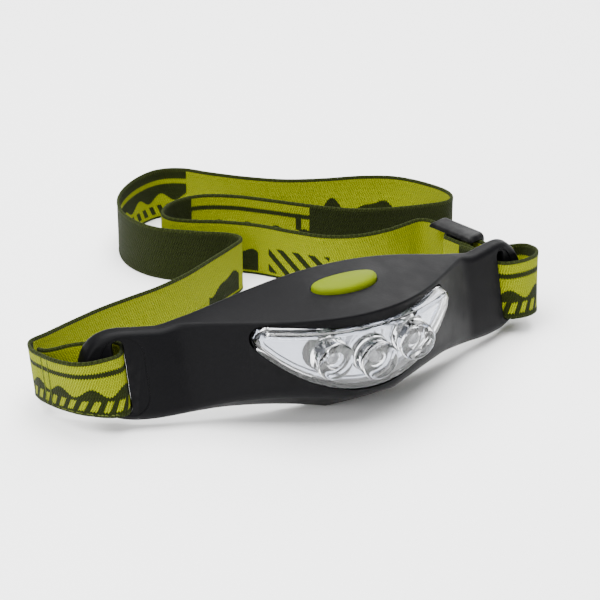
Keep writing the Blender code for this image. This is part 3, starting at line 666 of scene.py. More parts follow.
class SharedGroups:
    """Node groups that several finishes use."""

    def __init__(self) -> None:
        """Builds every group once."""
        self.grain = self.make_grain()
        self.wear = self.make_wear()
        self.weave = self.make_weave()
        self.strap = self.make_strap()

    @staticmethod
    def make_grain() -> Tree:
        """Moulded grain: a fine height and a slow change of tone."""
        graph, given, result = new_group(
            "moulded_grain", (("Place", "Vector", 0), ("Scale", "Float", 2600.0)),
            (("Height", "Float"), ("Tone", "Float")))
        place = given["Place"]
        fine = graph.add("ShaderNodeTexVoronoi", {"Vector": place, "Scale": given["Scale"]})
        pits = graph.times(graph.noise(place, 1400.0, 2.0), 0.4)
        graph.feed(result, {
            "Height": graph.calc("MULTIPLY_ADD", fine.outputs["Distance"], 0.6, pits),
            "Tone": graph.ramp(graph.noise(place, 90.0, 4.0), 0.3, 0.7)})
        return graph.tree

    @staticmethod
    def make_wear() -> Tree:
        """Rubbed edges and settled dust."""
        graph, given, result = new_group(
            "rubbed_edges", (("Place", "Vector", 0), ("Reach", "Float", 0.06)),
            (("Edges", "Float"), ("Dust", "Float")))
        place = given["Place"]
        geometry = graph.add("ShaderNodeNewGeometry")
        flat = 0.5
        sharp = graph.calc("SUBTRACT", geometry.outputs["Pointiness"], flat)
        edges = graph.ramp(graph.calc("DIVIDE", sharp, given["Reach"]), 0.15, 1.0)
        upward = graph.add("ShaderNodeSeparateXYZ", {0: geometry.outputs["Normal"]}).outputs[2]
        specks = graph.ramp(graph.noise(place, 2600.0, 5.0, 0.7), 0.62, 0.75)
        graph.feed(result, {
            "Edges": graph.times(edges, graph.ramp(graph.noise(place, 420.0, 4.0), 0.35, 0.7)),
            "Dust": graph.times(graph.ramp(upward, 0.5, 1.0), specks)})
        return graph.tree

    @staticmethod
    def make_weave() -> Tree:
        """Ribbed elastic weave from millimetres along and up the band: a height, and a tone that
        is painted shade in the grooves and painted light on the ridges, mixed with random fuzz.
        """
        graph, given, result = new_group(
            "elastic_weave", (("Along", "Float", 0), ("Up", "Float", 0)),
            (("Height", "Float"), ("Tone", "Float")))
        along, up = given["Along"], given["Up"]
        rib_pitch, thread_pitch = 0.85, 0.55
        rib = graph.ridges(graph.calc("MULTIPLY_ADD", up, 0.35, along), rib_pitch)
        thread = graph.ridges(up, thread_pitch)
        row = graph.calc("FLOOR", graph.calc("DIVIDE", up, thread_pitch))
        knot = graph.ridges(graph.calc("MULTIPLY_ADD", row, 0.42, along), rib_pitch)
        place = graph.add("ShaderNodeCombineXYZ", {0: along, 1: up}).outputs[0]
        fuzz = graph.noise(place, 1.9, 5.0, 0.75)
        fine = graph.calc("MULTIPLY_ADD", thread, 0.3, graph.times(knot, 0.4))
        height = graph.calc("MULTIPLY_ADD", rib, 0.5, fine)
        # The tone is painted shade and light: darker where the height is low in the grooves,
        # lighter on the ridges, plus random fuzz in the threads.
        tone = graph.calc("MULTIPLY_ADD", height, 0.4, graph.times(fuzz, 0.75))
        graph.feed(result, {"Height": height, "Tone": tone})
        return graph.tree

    @staticmethod
    def make_strap() -> Tree:
        """Where the band's outer face is lime, from millimetres along and up the band."""
        graph, given, result = new_group(
            "strap_pattern", (("Along", "Float", 0), ("Up", "Float", 0)), (("Lime", "Float"),))
        along, up = given["Along"], given["Up"]
        cut, blur, width = 0.12, 0.1, 20.0
        teeth = graph.times(graph.calc("PINGPONG", along, 0.45), 1.2)
        down = graph.calc("ADD", graph.calc("SUBTRACT", width, up), teeth)
        wave, hill = graph.wave(along, 11.0, 1.5), graph.wave(along, 17.0, 2.6)
        waved = graph.calc("ADD", down, wave)
        slanted = graph.calc("MULTIPLY_ADD", up, 0.45, along)
        dashes = graph.ramp(graph.calc("PINGPONG", slanted, 1.9), 0.85, 1.0)
        hills = graph.ramp(graph.calc("ADD", down, graph.calc("ADD", hill, wave)), 12.2, 12.4)
        framed, motif, bars = (
            graph.any_of([graph.within(along, *zone, cut) for zone in zones])
            for zones in (FRAMED_ZONES, MOTIF_ZONES, (BARRED_ZONE,)))
        stripe = graph.within(down, 1.2, 4.5, 0.08)
        ground = graph.times(graph.ramp(down, 6.2, 6.4), graph.ramp(waved, 11.6, 11.8, 1.0, 0.0))
        low = graph.times(graph.within(down, 14.6, 18.2, blur), dashes)
        closing = graph.times(graph.within(along, *CLOSING_STRIPE, cut),
                              graph.within(down, 4.4, 11.0, blur))
        frame_art = graph.calc("SUBTRACT", graph.any_of([stripe, ground, low]), closing)
        motif_art = graph.times(graph.ramp(down, 18.6, 18.8, 1.0, 0.0), hills)
        slant = graph.calc("PINGPONG", graph.calc("ADD", along, up), 3.0)
        bar_art = graph.times(graph.within(down, 8.6, 18.4, blur), graph.ramp(slant, 1.5, 1.7))
        graph.feed(result, {"Lime": graph.any_of([
            graph.times(framed, frame_art), graph.times(motif, motif_art),
            graph.times(bars, bar_art)])})
        return graph.tree


DUST: Colour = (0.55, 0.53, 0.5)
DUST_SHARE = 0.03


@dataclass(frozen=True)
class Finish:
    """One moulded, cast or plated finish."""

    name: str
    base: Colour
    worn: Colour
    roughness: tuple[float, float] = (0.45, 0.6)
    metallic: float = 0.0
    grain: float = 2600.0
    bump: float = 0.12
    reach: float = 0.06
    coat: float = 0.0
    tone: float = 0.94
    transmission: float = 0.0
    ior: float = 1.5
    specular: float = 0.5

    def build(self, groups: SharedGroups) -> Material:
        """Makes the material.

        Args:
            groups: the shared node groups.

        Returns:
            The material, with grain, rubbed edges and dust.
        """
        material, graph, shader = new_material(self.name)
        place = graph.add("ShaderNodeTexCoord").outputs["Object"]
        grain = graph.group(groups.grain, {"Place": place, "Scale": self.grain})
        wear = graph.group(groups.wear, {"Place": place, "Reach": self.reach})
        deep = tuple(channel * self.tone for channel in self.base)
        colour = graph.mix(grain.outputs["Tone"], deep, self.base)
        colour = graph.mix(wear.outputs["Edges"], colour, self.worn)
        rough = self.roughness[0]
        if not self.transmission:
            dust = graph.times(wear.outputs["Dust"], DUST_SHARE)
            colour = graph.mix(dust, colour, DUST)
            rough = graph.ramp(grain.outputs["Tone"], 0.0, 1.0, *self.roughness)
        graph.feed(shader, {
            "Base Color": colour, "Roughness": rough, "Metallic": self.metallic,
            "Coat Weight": self.coat, "Coat Roughness": 0.12, "IOR": self.ior,
            "Transmission Weight": self.transmission, "Specular IOR Level": self.specular})
        if self.bump:
            graph.bump(shader, grain.outputs["Height"], self.bump, 0.0002)
        return material


class Face(Enum):
    """The sides of the band."""

    OUTER = "outer"
    INNER = "inner"
    RIM = "rim"


@dataclass(frozen=True)
class BandFinish:
    """Woven elastic whose two faces show one pattern in swapped colours."""

    lime: Colour = (0.215, 0.25, 0.0)
    olive: Colour = (0.0115, 0.0165, 0.0008)
    selvedge: Colour = (0.019, 0.026, 0.003)
    bump: float = 0.9

    def build(self, face: Face, groups: SharedGroups) -> Material:
        """Makes the material of one side.

        Args:
            face: the side of the band.
            groups: the shared node groups.

        Returns:
            The material.
        """
        material, graph, shader = new_material("band_" + face.value)
        layout = graph.add("ShaderNodeUVMap", uv_map="band").outputs[0]
        parts = graph.add("ShaderNodeSeparateXYZ", {0: layout})
        along, up = (graph.times(parts.outputs[number], 1 / MM) for number in (0, 1))
        weave = graph.group(groups.weave, {"Along": along, "Up": up})
        colour = self.colour(graph, face, groups, along, up)
        # Painted shade and light: the thread colour is scaled by the weave's tone, darker in the
        # grooves and lighter on the ridges, with random fuzz.
        painted_weave_shading = graph.ramp(weave.outputs["Tone"], 0.45, 0.95, 0.45, 1.3)
        shaded = graph.add("ShaderNodeVectorMath", {0: colour, "Scale": painted_weave_shading}, operation="SCALE")
        graph.feed(shader, {
            "Base Color": shaded.outputs[0],
            "Roughness": graph.ramp(weave.outputs["Tone"], 0.2, 0.9, 0.95, 0.75),
            "Sheen Weight": 0.02, "Sheen Roughness": 0.5, "Specular IOR Level": 0.06})
        graph.bump(shader, weave.outputs["Height"], self.bump, 0.0005)
        return material

    def colour(self, graph: Graph, face: Face, groups: SharedGroups, along: Socket,
               up: Socket) -> Socket:
        """The thread colours of one side."""
        if face is Face.RIM:
            spot = graph.calc("PINGPONG", along, 0.9)
            return graph.mix(graph.ramp(spot, 0.4, 0.5), self.selvedge, self.olive)
        strap = graph.group(groups.strap, {"Along": along, "Up": up})
        first, second = self.olive, self.lime
        if face is Face.INNER:
            first, second = self.lime, self.olive
        woven = graph.mix(strap.outputs["Lime"], first, second)
        low_edge, high_edge = graph.ramp(up, 0.9, 1.1, 1.0, 0.0), graph.ramp(up, 18.8, 19.0)
        edge = graph.calc("MAXIMUM", low_edge, high_edge)
        return graph.mix(edge, woven, self.selvedge)


# ---------------------------------------------------------------- sub-assemblies

@dataclass
class Casing:
    """The moulded front casing with its slots, recesses and openings."""

    shape: CasingShape = field(default_factory=CasingShape)
    lens: LensShape = field(default_factory=LensShape)
    play: float = 0.3
    cavity_mouth: float = 4.0
    lens_clear: float = 15.0
    lens_room: float = 1.5
    slot: Point = (3.6, 23.8)
    slot_shift: float = 1.2
    recess: Point = (13.5, 26.0)
    slot_levels: tuple[Point, ...] = ((-10, 0.2), (-2.3, 0.2), (-2.1, 0.06), (-1.8, 0), (2.9, 0),
                                      (3.3, 0.15), (3.6, 0.5), (10, 0.5))
    recess_levels: tuple[Point, ...] = ((-10, 0.9), (-3.7, 0.9), (-3.4, 0.45), (-2.9, 0.1),
                                        (-2.3, 0))

    def body(self) -> Skin:
        """The casing's outside, closer sections towards the tabs' ends."""
        end, last = self.shape.tab_end, 0.999 * self.shape.tab_end
        stations = [end * math.sin(math.radians(angle)) for angle in span(-86, 86, 120)]
        return skin([self.shape.section(x) for x in (-last, *stations, last)])

    def cavity(self) -> Skin:
        """The room inside, open towards the forehead."""
        half = self.shape.cavity_half
        return skin([self.shape.section(x, self.shape.wall, self.cavity_mouth)
                     for x in span(-half, half, 60)])

    def tab_cutters(self, workshop: Workshop, side: int) -> list[Piece]:
        """A tab's strap slot and the flared recess round it."""
        place = self.shape.slot_place(side)
        outward = Matrix.Translation(Vector((-side * self.slot_shift, 0, 0)))
        cutters = []
        for (width, height), levels, at in ((self.slot, self.slot_levels, place @ outward),
                                            (self.recess, self.recess_levels, place)):
            cutters.append(workshop.block(stack(
                [(racetrack(width + 2 * grow, height + 2 * grow), level)
                 for level, grow in levels]), at))
        return cutters

    def make(self, workshop: Workshop, button: "Button",
             material: Material) -> Piece:
        """Builds the casing.

        Args:
            workshop: makes and finishes the piece.
            button: the button whose opening is cut in the top.
            material: the casing's finish.

        Returns:
            The casing.
        """
        casing = workshop.block(self.body())
        cutters = [workshop.block(self.cavity())]
        for side in (-1, 1):
            cutters += self.tab_cutters(workshop, side)
        cutters.append(workshop.block(
            self.lens.shell(self.play, -self.lens_clear, self.lens.depth + self.lens_room)))
        cutters.append(workshop.block(button.opening(self.play), button.place(self.shape)))
        workshop.combine(casing, cutters)
        return workshop.finish(casing, "casing_shell", "housing", "housing", [material],
                               ["front_housing"], angle=32)


@dataclass
class Button:
    """The leaf-shaped push button in the top of the casing."""

    half: float = 11.4
    back_y: float = -12.5
    front_y: float = -21.8
    waist: float = 1.6
    skirt: float = -2.2
    crown: tuple[Point, ...] = ((1.0, -2.2), (1.0, 0.1), (0.995, 0.35), (0.98, 0.65), (0.95, 1.0),
                                (0.9, 1.35), (0.83, 1.62), (0.72, 1.85), (0.56, 2.0), (0.38, 2.1),
                                (0.2, 2.15))

    def place(self, shape: CasingShape) -> Matrix:
        """On the top face, its Z square to the face."""
        middle = (self.back_y + self.front_y) / 2
        high = shape.top_z(0)
        back = shape.rear_y(0, high)
        fall = math.atan2(shape.brow_drop, back - shape.front_y(0, high - shape.brow_drop))
        height = high - (back - middle) * math.tan(fall)
        return Matrix.Translation((0, middle, height)) @ Matrix.Rotation(fall, 4, "X")

    def outline(self, grow: float = 0.0) -> list[Point]:
        """A leaf with a nearly straight back edge and a deep front edge."""
        half = self.half + grow
        back = (self.back_y - self.front_y) / 2 + grow
        tip = 1.6
        corners = [(half, self.waist, tip)]
        for angle in span(0, math.pi, 24)[1:-1]:
            corners.append((half * math.cos(angle),
                            self.waist + (back - self.waist) * math.sin(angle) ** 0.8, 0))
        corners.append((-half, self.waist, tip))
        for angle in span(math.pi, 2 * math.pi, 30)[1:-1]:
            corners.append((half * math.cos(angle),
                            self.waist + (back + self.waist) * math.sin(angle), 0))
        return resample(rounded_polygon(corners, 6), 96)

    def opening(self, play: float) -> Skin:
        """The button's opening, a little wider at the top."""
        return stack([(self.outline(play + grow), level)
                      for level, grow in ((-6, 0), (-0.3, 0), (6, 0.05))])

    def make(self, workshop: Workshop, shape: CasingShape,
             material: Material) -> Piece:
        """Builds the button: a skirt under a crown that rounds over from its rim up to its middle.
        """
        outline = self.outline()
        rings = [[Vector((0, 0, self.skirt))]]
        rings += [[Vector((a * scale, b * scale, height)) for a, b in outline]
                  for scale, height in self.crown]
        rings.append([Vector((0, 0, self.crown[-1][1] + 0.02))])
        pad = workshop.block(skin(rings), self.place(shape))
        return workshop.finish(pad, "button_pad", "button", "button", [material], ["push_button"])


@dataclass
class LensCover:
    """The clear lens with one collimator dome in front of each lamp."""

    shape: LensShape = field(default_factory=LensShape)
    optics: Optics = field(default_factory=Optics)

    def cup(self) -> Skin:
        """The lens without its domes: a bent face and a skirt behind it."""
        lens = self.shape
        scales = span(0, 1, 12)
        rings = [lens.ring(-lens.rounding, 0, scale) for scale in scales]
        rings += [lens.ring(-lens.rounding * (1 - math.sin(angle)),
                            lens.rounding * (1 - math.cos(angle)))
                  for angle in span(0, math.pi / 2, 6)[1:]]
        rings += [lens.ring(0, lens.depth), lens.ring(-lens.wall, lens.depth)]
        inside = -lens.wall - lens.inner_edge
        rings += [lens.ring(-lens.wall, lens.wall + lens.inner_edge)]
        rings += [lens.ring(inside, lens.wall, scale) for scale in reversed(scales)]
        return skin(rings)

    def dome(self, pocket_end: float) -> Skin:
        """A collimator with a rounded rim, a shallow dish in front and an LED pocket behind."""
        radius, proud = self.optics.dome_radius, self.optics.dome_proud
        rim = self.optics.dome_rim
        foot = -self.shape.wall - self.optics.dome_foot
        profile = [(0, proud - 0.75), (radius * 0.3, proud - 0.65), (radius * 0.55, proud - 0.4),
                   (radius - 1.7 * rim, proud - 0.08)]
        profile += [(radius - rim + rim * math.sin(angle), proud - rim + rim * math.cos(angle))
                    for angle in span(0, math.pi / 2, 6)]
        profile += [(radius, foot), (self.optics.pocket, foot), (self.optics.pocket, pocket_end),
                    (0, pocket_end)]
        return turned(profile, 72)

    def make(self, workshop: Workshop, material: Material) -> Piece:
        """Builds the lens: seats are cut through it and the domes are joined in."""
        cover = workshop.block(self.cup())
        for x, height in self.optics.places():
            face = self.shape.face(x)
            place = facing_forward(x, face, height)
            radius, reach = self.optics.dome_radius - self.optics.seat_margin, 10
            seat = turned([(0, -reach), (radius, -reach), (radius, reach), (0, reach)], 72)
            workshop.combine(cover, [workshop.block(seat, place)])
            tip = self.optics.flange_y - self.optics.led_length - self.optics.led_play
            workshop.combine(cover, [workshop.block(self.dome(face - tip), place)], "UNION")
        return workshop.finish(cover, "lens_cover", "housing", "lens", [material], ["lens"],
                               angle=38)


@dataclass
class Lamps:
    """The three LEDs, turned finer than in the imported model."""

    optics: Optics = field(default_factory=Optics)
    profile: tuple[Point, ...] = ((0, 8.6), (0.7, 8.5), (1.3, 8.22), (1.8, 7.8), (2.2, 7.2),
                                  (2.43, 6.5), (2.5, 5.9), (2.5, 1.0), (2.9, 1.0), (2.9, 0),
                                  (0, 0))

    def make(self, workshop: Workshop, material: Material) -> list[Piece]:
        """Builds the LEDs."""
        lamps = []
        for label, (x, height) in zip(("left", "middle", "right"), self.optics.places()):
            lamp = workshop.block(turned(self.profile, 48),
                                  facing_forward(x, self.optics.flange_y, height))
            lamps.append(workshop.finish(lamp, "lamp_" + label, "housing", "led", [material],
                                         ["led_" + label]))
        return lamps


# Where the band stands on the floor it is upright, at this height, and passes these points.
FLOOR_HEIGHT = 10.0
FLOOR_FOLDS = (
    (-59.0, 42.6), (-47.5, 45.4), (-36.0, 48.0), (-24.0, 52.4), (-12.0, 58.8), (-1.0, 64.9),
    (5.4, 69.4), (3.4, 74.8), (-6.6, 81.8), (-16.6, 90.2), (-21.8, 100.0), (-22.4, 111.0),
    (-18.0, 122.6), (-8.4, 132.4), (3.0, 137.4), (12.6, 134.4), (20.0, 126.4), (30.0, 116.6),
    (42.0, 107.4), (55.0, 101.6), (69.0, 97.0), (80.4, 90.2), (87.8, 79.0), (90.4, 69.4),
    (86.6, 63.4), (76.0, 64.4), (62.0, 68.2), (50.0, 74.2), (40.0, 83.0), (29.6, 93.6),
    (19.0, 103.6), (8.0, 109.4), (-2.6, 108.6), (-9.6, 103.0), (-9.8, 96.8), (-4.2, 91.4),
    (6.0, 85.2), (16.0, 76.6), (24.2, 66.4), (32.4, 57.8),
)
# The band's middle line in lamp millimetres from its sewn tail: x, y, height, and how far its
# upper edge leans to +X and to +Y, in degrees.
BAND_ROUTE = (
    (-88.3, 21.0, 13.4, -7, -4), (-87.3, 17.4, 13.9, -5, 0), (-84.9, 15.4, 14.4, -3, 4),
    (-80.6, 13.6, 15.0, 0, 10), (-75.5, 10.6, 15.8, 0, 14), (-71.0, 8.4, 16.0, 0, 16),
    (-68.2, 7.0, 16.0, 0, 16), (-66.9, 4.8, 16.0, 0, 16), (-67.6, 2.3, 16.0, 0, 16),
    (-68.7, -0.1, 16.0, 0, 16), (-70.7, -2.1, 16.0, 0, 16), (-75.0, -2.5, 16.2, 0, 10),
    (-80.0, -1.4, 16.5, -2, -1), (-84.4, 1.6, 16.4, -4, -7), (-87.8, 7.4, 15.8, -6, -8),
    (-89.8, 14.2, 14.9, -7, -6), (-90.6, 21.0, 13.9, -7, -4), (-88.6, 27.6, 12.6, -4, 0),
    (-81.6, 32.4, 11.3, 0, 0), (-70.5, 38.2, 10.3, 0, 0),
    *((x, y, FLOOR_HEIGHT, 0, 0) for x, y in FLOOR_FOLDS),
    (42.4, 52.6, 10.2, 0, 0), (53.0, 50.6, 10.8, 0, 0), (61.0, 50.9, 11.4, 0, 0),
    (66.4, 51.2, 11.8, 0, 0), (69.4, 48.7, 12.0, 0, 0), (70.9, 43.8, 12.0, 0, 0),
    (73.6, 34.9, 12.0, 0, 0), (78.2, 19.7, 12.1, 0, 0), (79.6, 17.2, 12.6, 2, 0),
    (82.2, 15.3, 13.2, 5, 2), (85.0, 12.4, 13.9, 9, 5), (85.9, 7.8, 14.5, 11, 8),
    (84.9, 2.8, 15.1, 8, 11), (82.0, -1.0, 15.6, 4, 14), (77.5, -2.9, 15.9, 1, 16),
    (73.4, -2.9, 16.0, 0, 16), (70.7, -2.1, 16.0, 0, 16), (68.7, -0.1, 16.0, 0, 16),
    (67.6, 2.3, 16.0, 0, 16), (66.9, 4.8, 16.0, 0, 16), (67.1, 8.4, 15.6, 0, 15),
    (67.8, 12.6, 14.6, 0, 9), (69.0, 16.4, 13.4, 0, 4), (69.8, 19.4, 12.6, 0, 1),
    (69.2, 22.5, 12.2, 0, 0), (68.3, 25.5, 12.0, 0, 0),
)
# The slider's middle, and the direction in which the band passes it towards the tab.
SLIDER_AT = (73.6, 34.9, 12.0)
SLIDER_WAY = (0.290, -0.957)


@dataclass
class Band:
    """The woven elastic band, its sewn end loop and its stitches."""

    width: float = 20.0
    thickness: float = 1.2
    step: float = 1.1
    play: float = 0.3
    slider_bar: float = 2.4
    across: int = 12
    border: float = 0.5
    bead: tuple[Point, ...] = ((0, -0.62), (0.12, -0.55), (0.17, -0.3), (0.17, 0.3), (0.12, 0.55),
                               (0, 0.62))
    stitch_offset: float = 0.55
    seam_rows: Point = (62.6, 65.0)
    seam_half: float = 8.6
    slot_line: Point = (39.5, 59.0)
    slot_line_height: float = -8.9
    loop_start: float = 630.0

    def lay(self, rows: Sequence[Sequence[float]]) -> tuple[list[Vector], list[Vector]]:
        """Smooths the route.

        Args:
            rows: places and leans.

        Returns:
            The points of the middle line and the direction up the band at each.
        """
        places = [Vector(row[:3]) for row in rows]
        tilts = [Vector((math.tan(math.radians(row[3])), math.tan(math.radians(row[4])), 1))
                 for row in rows]
        points, ups = [], []
        count = len(rows)
        for index in range(count - 1):
            quad = [max(0, index - 1), index, index + 1, min(count - 1, index + 2)]
            steps = max(1, math.ceil((places[index + 1] - places[index]).length / self.step))
            for t in span(0, 1, steps)[:-1]:
                points.append(self.blend([places[number] for number in quad], t))
                ups.append(self.blend([tilts[number] for number in quad], t).normalized())
        points.append(places[-1])
        ups.append(tilts[-1].normalized())
        return points, ups

    @staticmethod
    def blend(quad: Sequence[Vector], t: float) -> Vector:
        """A smooth value between the middle two of four values."""
        before, start, end, after = quad
        return 0.5 * (2 * start + (end - before) * t
                      + (2 * before - 5 * start + 4 * end - after) * t * t
                      + (3 * start - before - 3 * end + after) * t ** 3)

    def profile(self) -> list[tuple[float, float, Face]]:
        """The band's cross-section: height, offset to the outer side, and the side it is on."""
        half, side = self.width / 2, self.thickness / 2
        points = []
        for sign, face in ((1, Face.OUTER), (-1, Face.INNER)):
            for share in span(-1, 1, self.across):
                height = share * (half - self.border) * sign
                swelling = 0.10 * max(0.0, (abs(share) - 0.86) / 0.14)
                points.append((height, sign * (side * 0.84 + swelling), face))
            for angle in span(0, math.pi, 4)[1:-1]:
                points.append((sign * (half - self.border + self.border * math.sin(angle)),
                               sign * side * math.cos(angle), Face.RIM))
        return points

    def ribbon(self, points: Sequence[Vector], ups: Sequence[Vector],
               start: float) -> Skin:
        """Sweeps the cross-section along the line.

        Args:
            points: the middle line.
            ups: the direction up the band at each point.
            start: length along the band at the first point.

        Returns:
            The band's skin, with lengths along and up the band in its UV layer.
        """
        profile = self.profile()
        mesh = bmesh.new()
        layer = mesh.loops.layers.uv.new("band")
        loops, lengths = [], []
        length = start
        for index, (point, up) in enumerate(zip(points, ups)):
            before = points[max(0, index - 1)]
            after = points[min(len(points) - 1, index + 1)]
            length += (point - before).length if index else 0
            lengths.append(length)
            side = up.cross(after - before).normalized()
            loops.append([mesh.verts.new(point + up * height + side * offset)
                          for height, offset, _ in profile])
        numbers = {Face.OUTER: 0, Face.INNER: 1, Face.RIM: 2}
        count = len(profile)
        for index, (lower, upper) in enumerate(zip(loops, loops[1:])):
            for number in range(count):
                after = (number + 1) % count
                face = mesh.faces.new((lower[number], lower[after], upper[after], upper[number]))
                same = profile[number][2] is profile[after][2]
                face.material_index = numbers[profile[number][2] if same else Face.RIM]
                ends = ((lengths[index], profile[number][0]), (lengths[index], profile[after][0]),
                        (lengths[index + 1], profile[after][0]),
                        (lengths[index + 1], profile[number][0]))
                for loop, (along, height) in zip(face.loops, ends):
                    loop[layer].uv = (along * MM, (height + self.width / 2) * MM)
        for end, along in ((loops[0], lengths[0]), (loops[-1], lengths[-1])):
            face = mesh.faces.new(end)
            face.material_index = numbers[Face.RIM]
            for loop in face.loops:
                loop[layer].uv = (along * MM, 0.5 * self.width * MM)
        bmesh.ops.recalc_face_normals(mesh, faces=mesh.faces)
        return mesh

    def slider_place(self) -> Matrix:
        """The slider's middle: X along the band towards the tab, Y out of the loop."""
        way = Vector((*SLIDER_WAY, 0)).normalized()
        out = Vector((-way.y, way.x, 0))
        return axes(way, out, Vector((0, 0, 1)), Vector(SLIDER_AT))

    def bar_axis(self) -> float:
        """How far behind the band the slider's middle bar lies."""
        return -(1.5 * self.thickness + 3 * self.play + self.slider_bar / 2)

    def end_rows(self) -> list[tuple[float, ...]]:
        """The sewn end's route round the slider's middle bar."""
        layer = self.thickness + self.play
        bar = self.bar_axis()
        reach = self.slider_bar / 2 + self.thickness / 2 + self.play
        near, far, turn = bar + reach, bar - reach, reach + 0.15
        rows = ((9.5, far + layer), (6.4, far + layer + 0.2), (3.6, near - 0.5), (1.2, near),
                (-1.0, near - 0.1), (-turn, bar), (-1.0, far + 0.1), (1.2, far), (6.0, far),
                (13.5, far))
        return [(x, y, 0, 0, 0) for x, y in rows]

    def stitches(self, points: Sequence[Vector], ups: Sequence[Vector]) -> Skin:
        """Sewn rows across the band where its tail is fastened, and a line by the left slot."""
        mesh = bmesh.new()
        lengths = [0.0]
        for before, after in zip(points, points[1:]):
            lengths.append(lengths[-1] + (after - before).length)
        spots = [(along, height, True) for along in self.seam_rows
                 for height in span(-self.seam_half, self.seam_half, 14)]
        spots += [(along, self.slot_line_height, False) for along in span(*self.slot_line, 13)]
        for along, height, upright in spots:
            index = min(range(len(lengths)), key=lambda number: abs(lengths[number] - along))
            way = (points[index + 1] - points[index]).normalized()
            side = way.cross(ups[index]).normalized()
            run = (ups[index] if upright else way) + (way if upright else ups[index]) * 0.25
            axis = run.normalized()
            third = axis.cross(side)
            for offset in (self.stitch_offset, -self.stitch_offset):
                at = points[index] + ups[index] * height + side * offset
                bead = turned(self.bead, 8)
                spot = axes(third, axis, -axis.cross(third), at) @ facing_forward(0, 0, 0)
                bmesh.ops.transform(bead, matrix=spot, verts=bead.verts)
                data = mesh_data("bead", bead)
                mesh.from_mesh(data)
                bpy.data.meshes.remove(data)
        return mesh

    def make(self, workshop: Workshop, materials: Sequence[Material],
             thread: Material) -> list[Piece]:
        """Builds the band, its end loop and its stitches.

        Args:
            workshop: makes and finishes the pieces.
            materials: the band's outer side, inner side and rim.
            thread: the sewing thread's finish.

        Returns:
            The pieces.
        """
        points, ups = self.lay(BAND_ROUTE)
        strap = workshop.block(self.ribbon(points, ups, 0.0))
        strap = workshop.finish(strap, "band_strap", "housing", "band", materials, ["headband"],
                                60)
        seam = workshop.block(self.stitches(points, ups))
        seam = workshop.finish(seam, "band_stitches", "housing", "band", [thread])
        points, ups = self.lay(self.end_rows())
        loop = workshop.block(self.ribbon(points, ups, self.loop_start), self.slider_place())
        loop = workshop.finish(loop, "band_end_loop", "slider", "band", materials,
                               ["strap_end_loop"], 60)
        return [strap, seam, loop]


@dataclass
class Slider:
    """The three-bar slider on the band, in its own millimetres until it is placed."""

    length: float = 20.0
    height: float = 24.0
    face: float = 1.6
    corner: float = 2.2
    reach: float = 20.0

    def rectangle(self, half: float, tall: float, corner: float) -> list[Point]:
        """A rectangle with round corners."""
        return rounded_polygon([(half * a, tall * b, corner)
                                for a, b in ((-1, -1), (1, -1), (1, 1), (-1, 1))], 6)

    def plate(self, half: float, tall: float, corner: float,
              levels: Sequence[Point]) -> Skin:
        """A plate across the band, its outline moved in by each level's inset."""
        return skin([[Vector((a, y, b)) for a, b in
                      self.rectangle(half - inset, tall - inset, max(0.3, corner - inset))]
                     for y, inset in levels])

    def make(self, workshop: Workshop, band: Band,
             material: Material) -> Piece:
        """Builds the slider round the band and its end loop."""
        place = band.slider_place()
        outer = band.thickness / 2 + band.play
        axis, bar, reach = band.bar_axis(), band.slider_bar, self.reach
        front, back = outer + self.face, axis - bar / 2
        inner = band.width / 2 + band.play
        side = self.length / 2 - bar
        frame = self.plate(self.length / 2, self.height / 2, self.corner,
                           ((back, 0.6), (back + 0.2, 0.2), (back + 0.6, 0), (front - 0.8, 0),
                            (front - 0.4, 0.12), (front - 0.1, 0.4), (front, 0.8)))
        channel = skin([[Vector((x, y, z)) for y, z in
                         ((-reach, -inner), (outer, -inner), (outer, inner), (-reach, inner))]
                        for x in (-reach, reach)])
        window = self.plate(side, inner, 0.8,
                            ((-reach, 0), (front - 0.5, 0), (front - 0.2, -0.15),
                             (front + 0.1, -0.5), (reach, -0.5)))
        bar = stack([([(a, b + axis) for a, b in self.rectangle(bar / 2, bar / 2, 0.9)], z)
                     for z in (-inner - 0.4, inner + 0.4)])
        slider = workshop.block(frame, place)
        workshop.combine(slider, [workshop.block(channel, place), workshop.block(window, place)])
        workshop.combine(slider, [workshop.block(bar, place)], "UNION")
        return workshop.finish(slider, "slider_frame", "slider", "slider", [material],
                               ["slider_buckle"], angle=40)


def dress_internals(groups: SharedGroups) -> None:
    """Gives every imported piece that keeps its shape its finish."""
    screws = [f"cover_screw_{number}" for number in range(1, 5)]
    contacts = [f"contact_{kind}_{number}" for kind in ("plate", "spring") for number in (1, 2)]
    dressed = (
        (Finish("cover_black", (0.006, 0.006, 0.0065), (0.015, 0.015, 0.015), (0.42, 0.55),
                bump=0.3, reach=0.5, specular=0.15),
         ("rear_cover", "battery_door", "battery_cradle", "switch_plunger")),
        (Finish("tray_silver", (0.42, 0.44, 0.50), (0.6, 0.6, 0.62), (0.06, 0.13), 1.0,
                bump=0.03, reach=0.5), ("reflector_tray",)),
        (Finish("plated_steel", (0.20, 0.20, 0.205), (0.3, 0.3, 0.3), (0.3, 0.45), 1.0,
                bump=0.06, reach=0.5), (*screws, *contacts, "tact_switch")),
        (Finish("solder_mask", (0.004, 0.022, 0.011), (0.006, 0.03, 0.015), (0.25, 0.4),
                bump=0.1, reach=0.5, coat=0.4), ("circuit_board", "switch_board")),
        (Finish("resistor_body", (0.05, 0.05, 0.05), (0.3, 0.3, 0.3), (0.4, 0.6)),
         ("resistor_1", "resistor_2")),
        (Finish("cell_sleeve", (0.012, 0.016, 0.03), (0.1, 0.1, 0.11), (0.22, 0.35),
                bump=0.04, reach=0.5, coat=0.3), ("cell_1", "cell_2")))
    for finish, names in dressed:
        material = finish.build(groups)
        for name in names:
            materials = bpy.data.objects[name].data.materials
            materials.clear()
            materials.append(material)
            LOG.info("%s: %s", name, material.name)


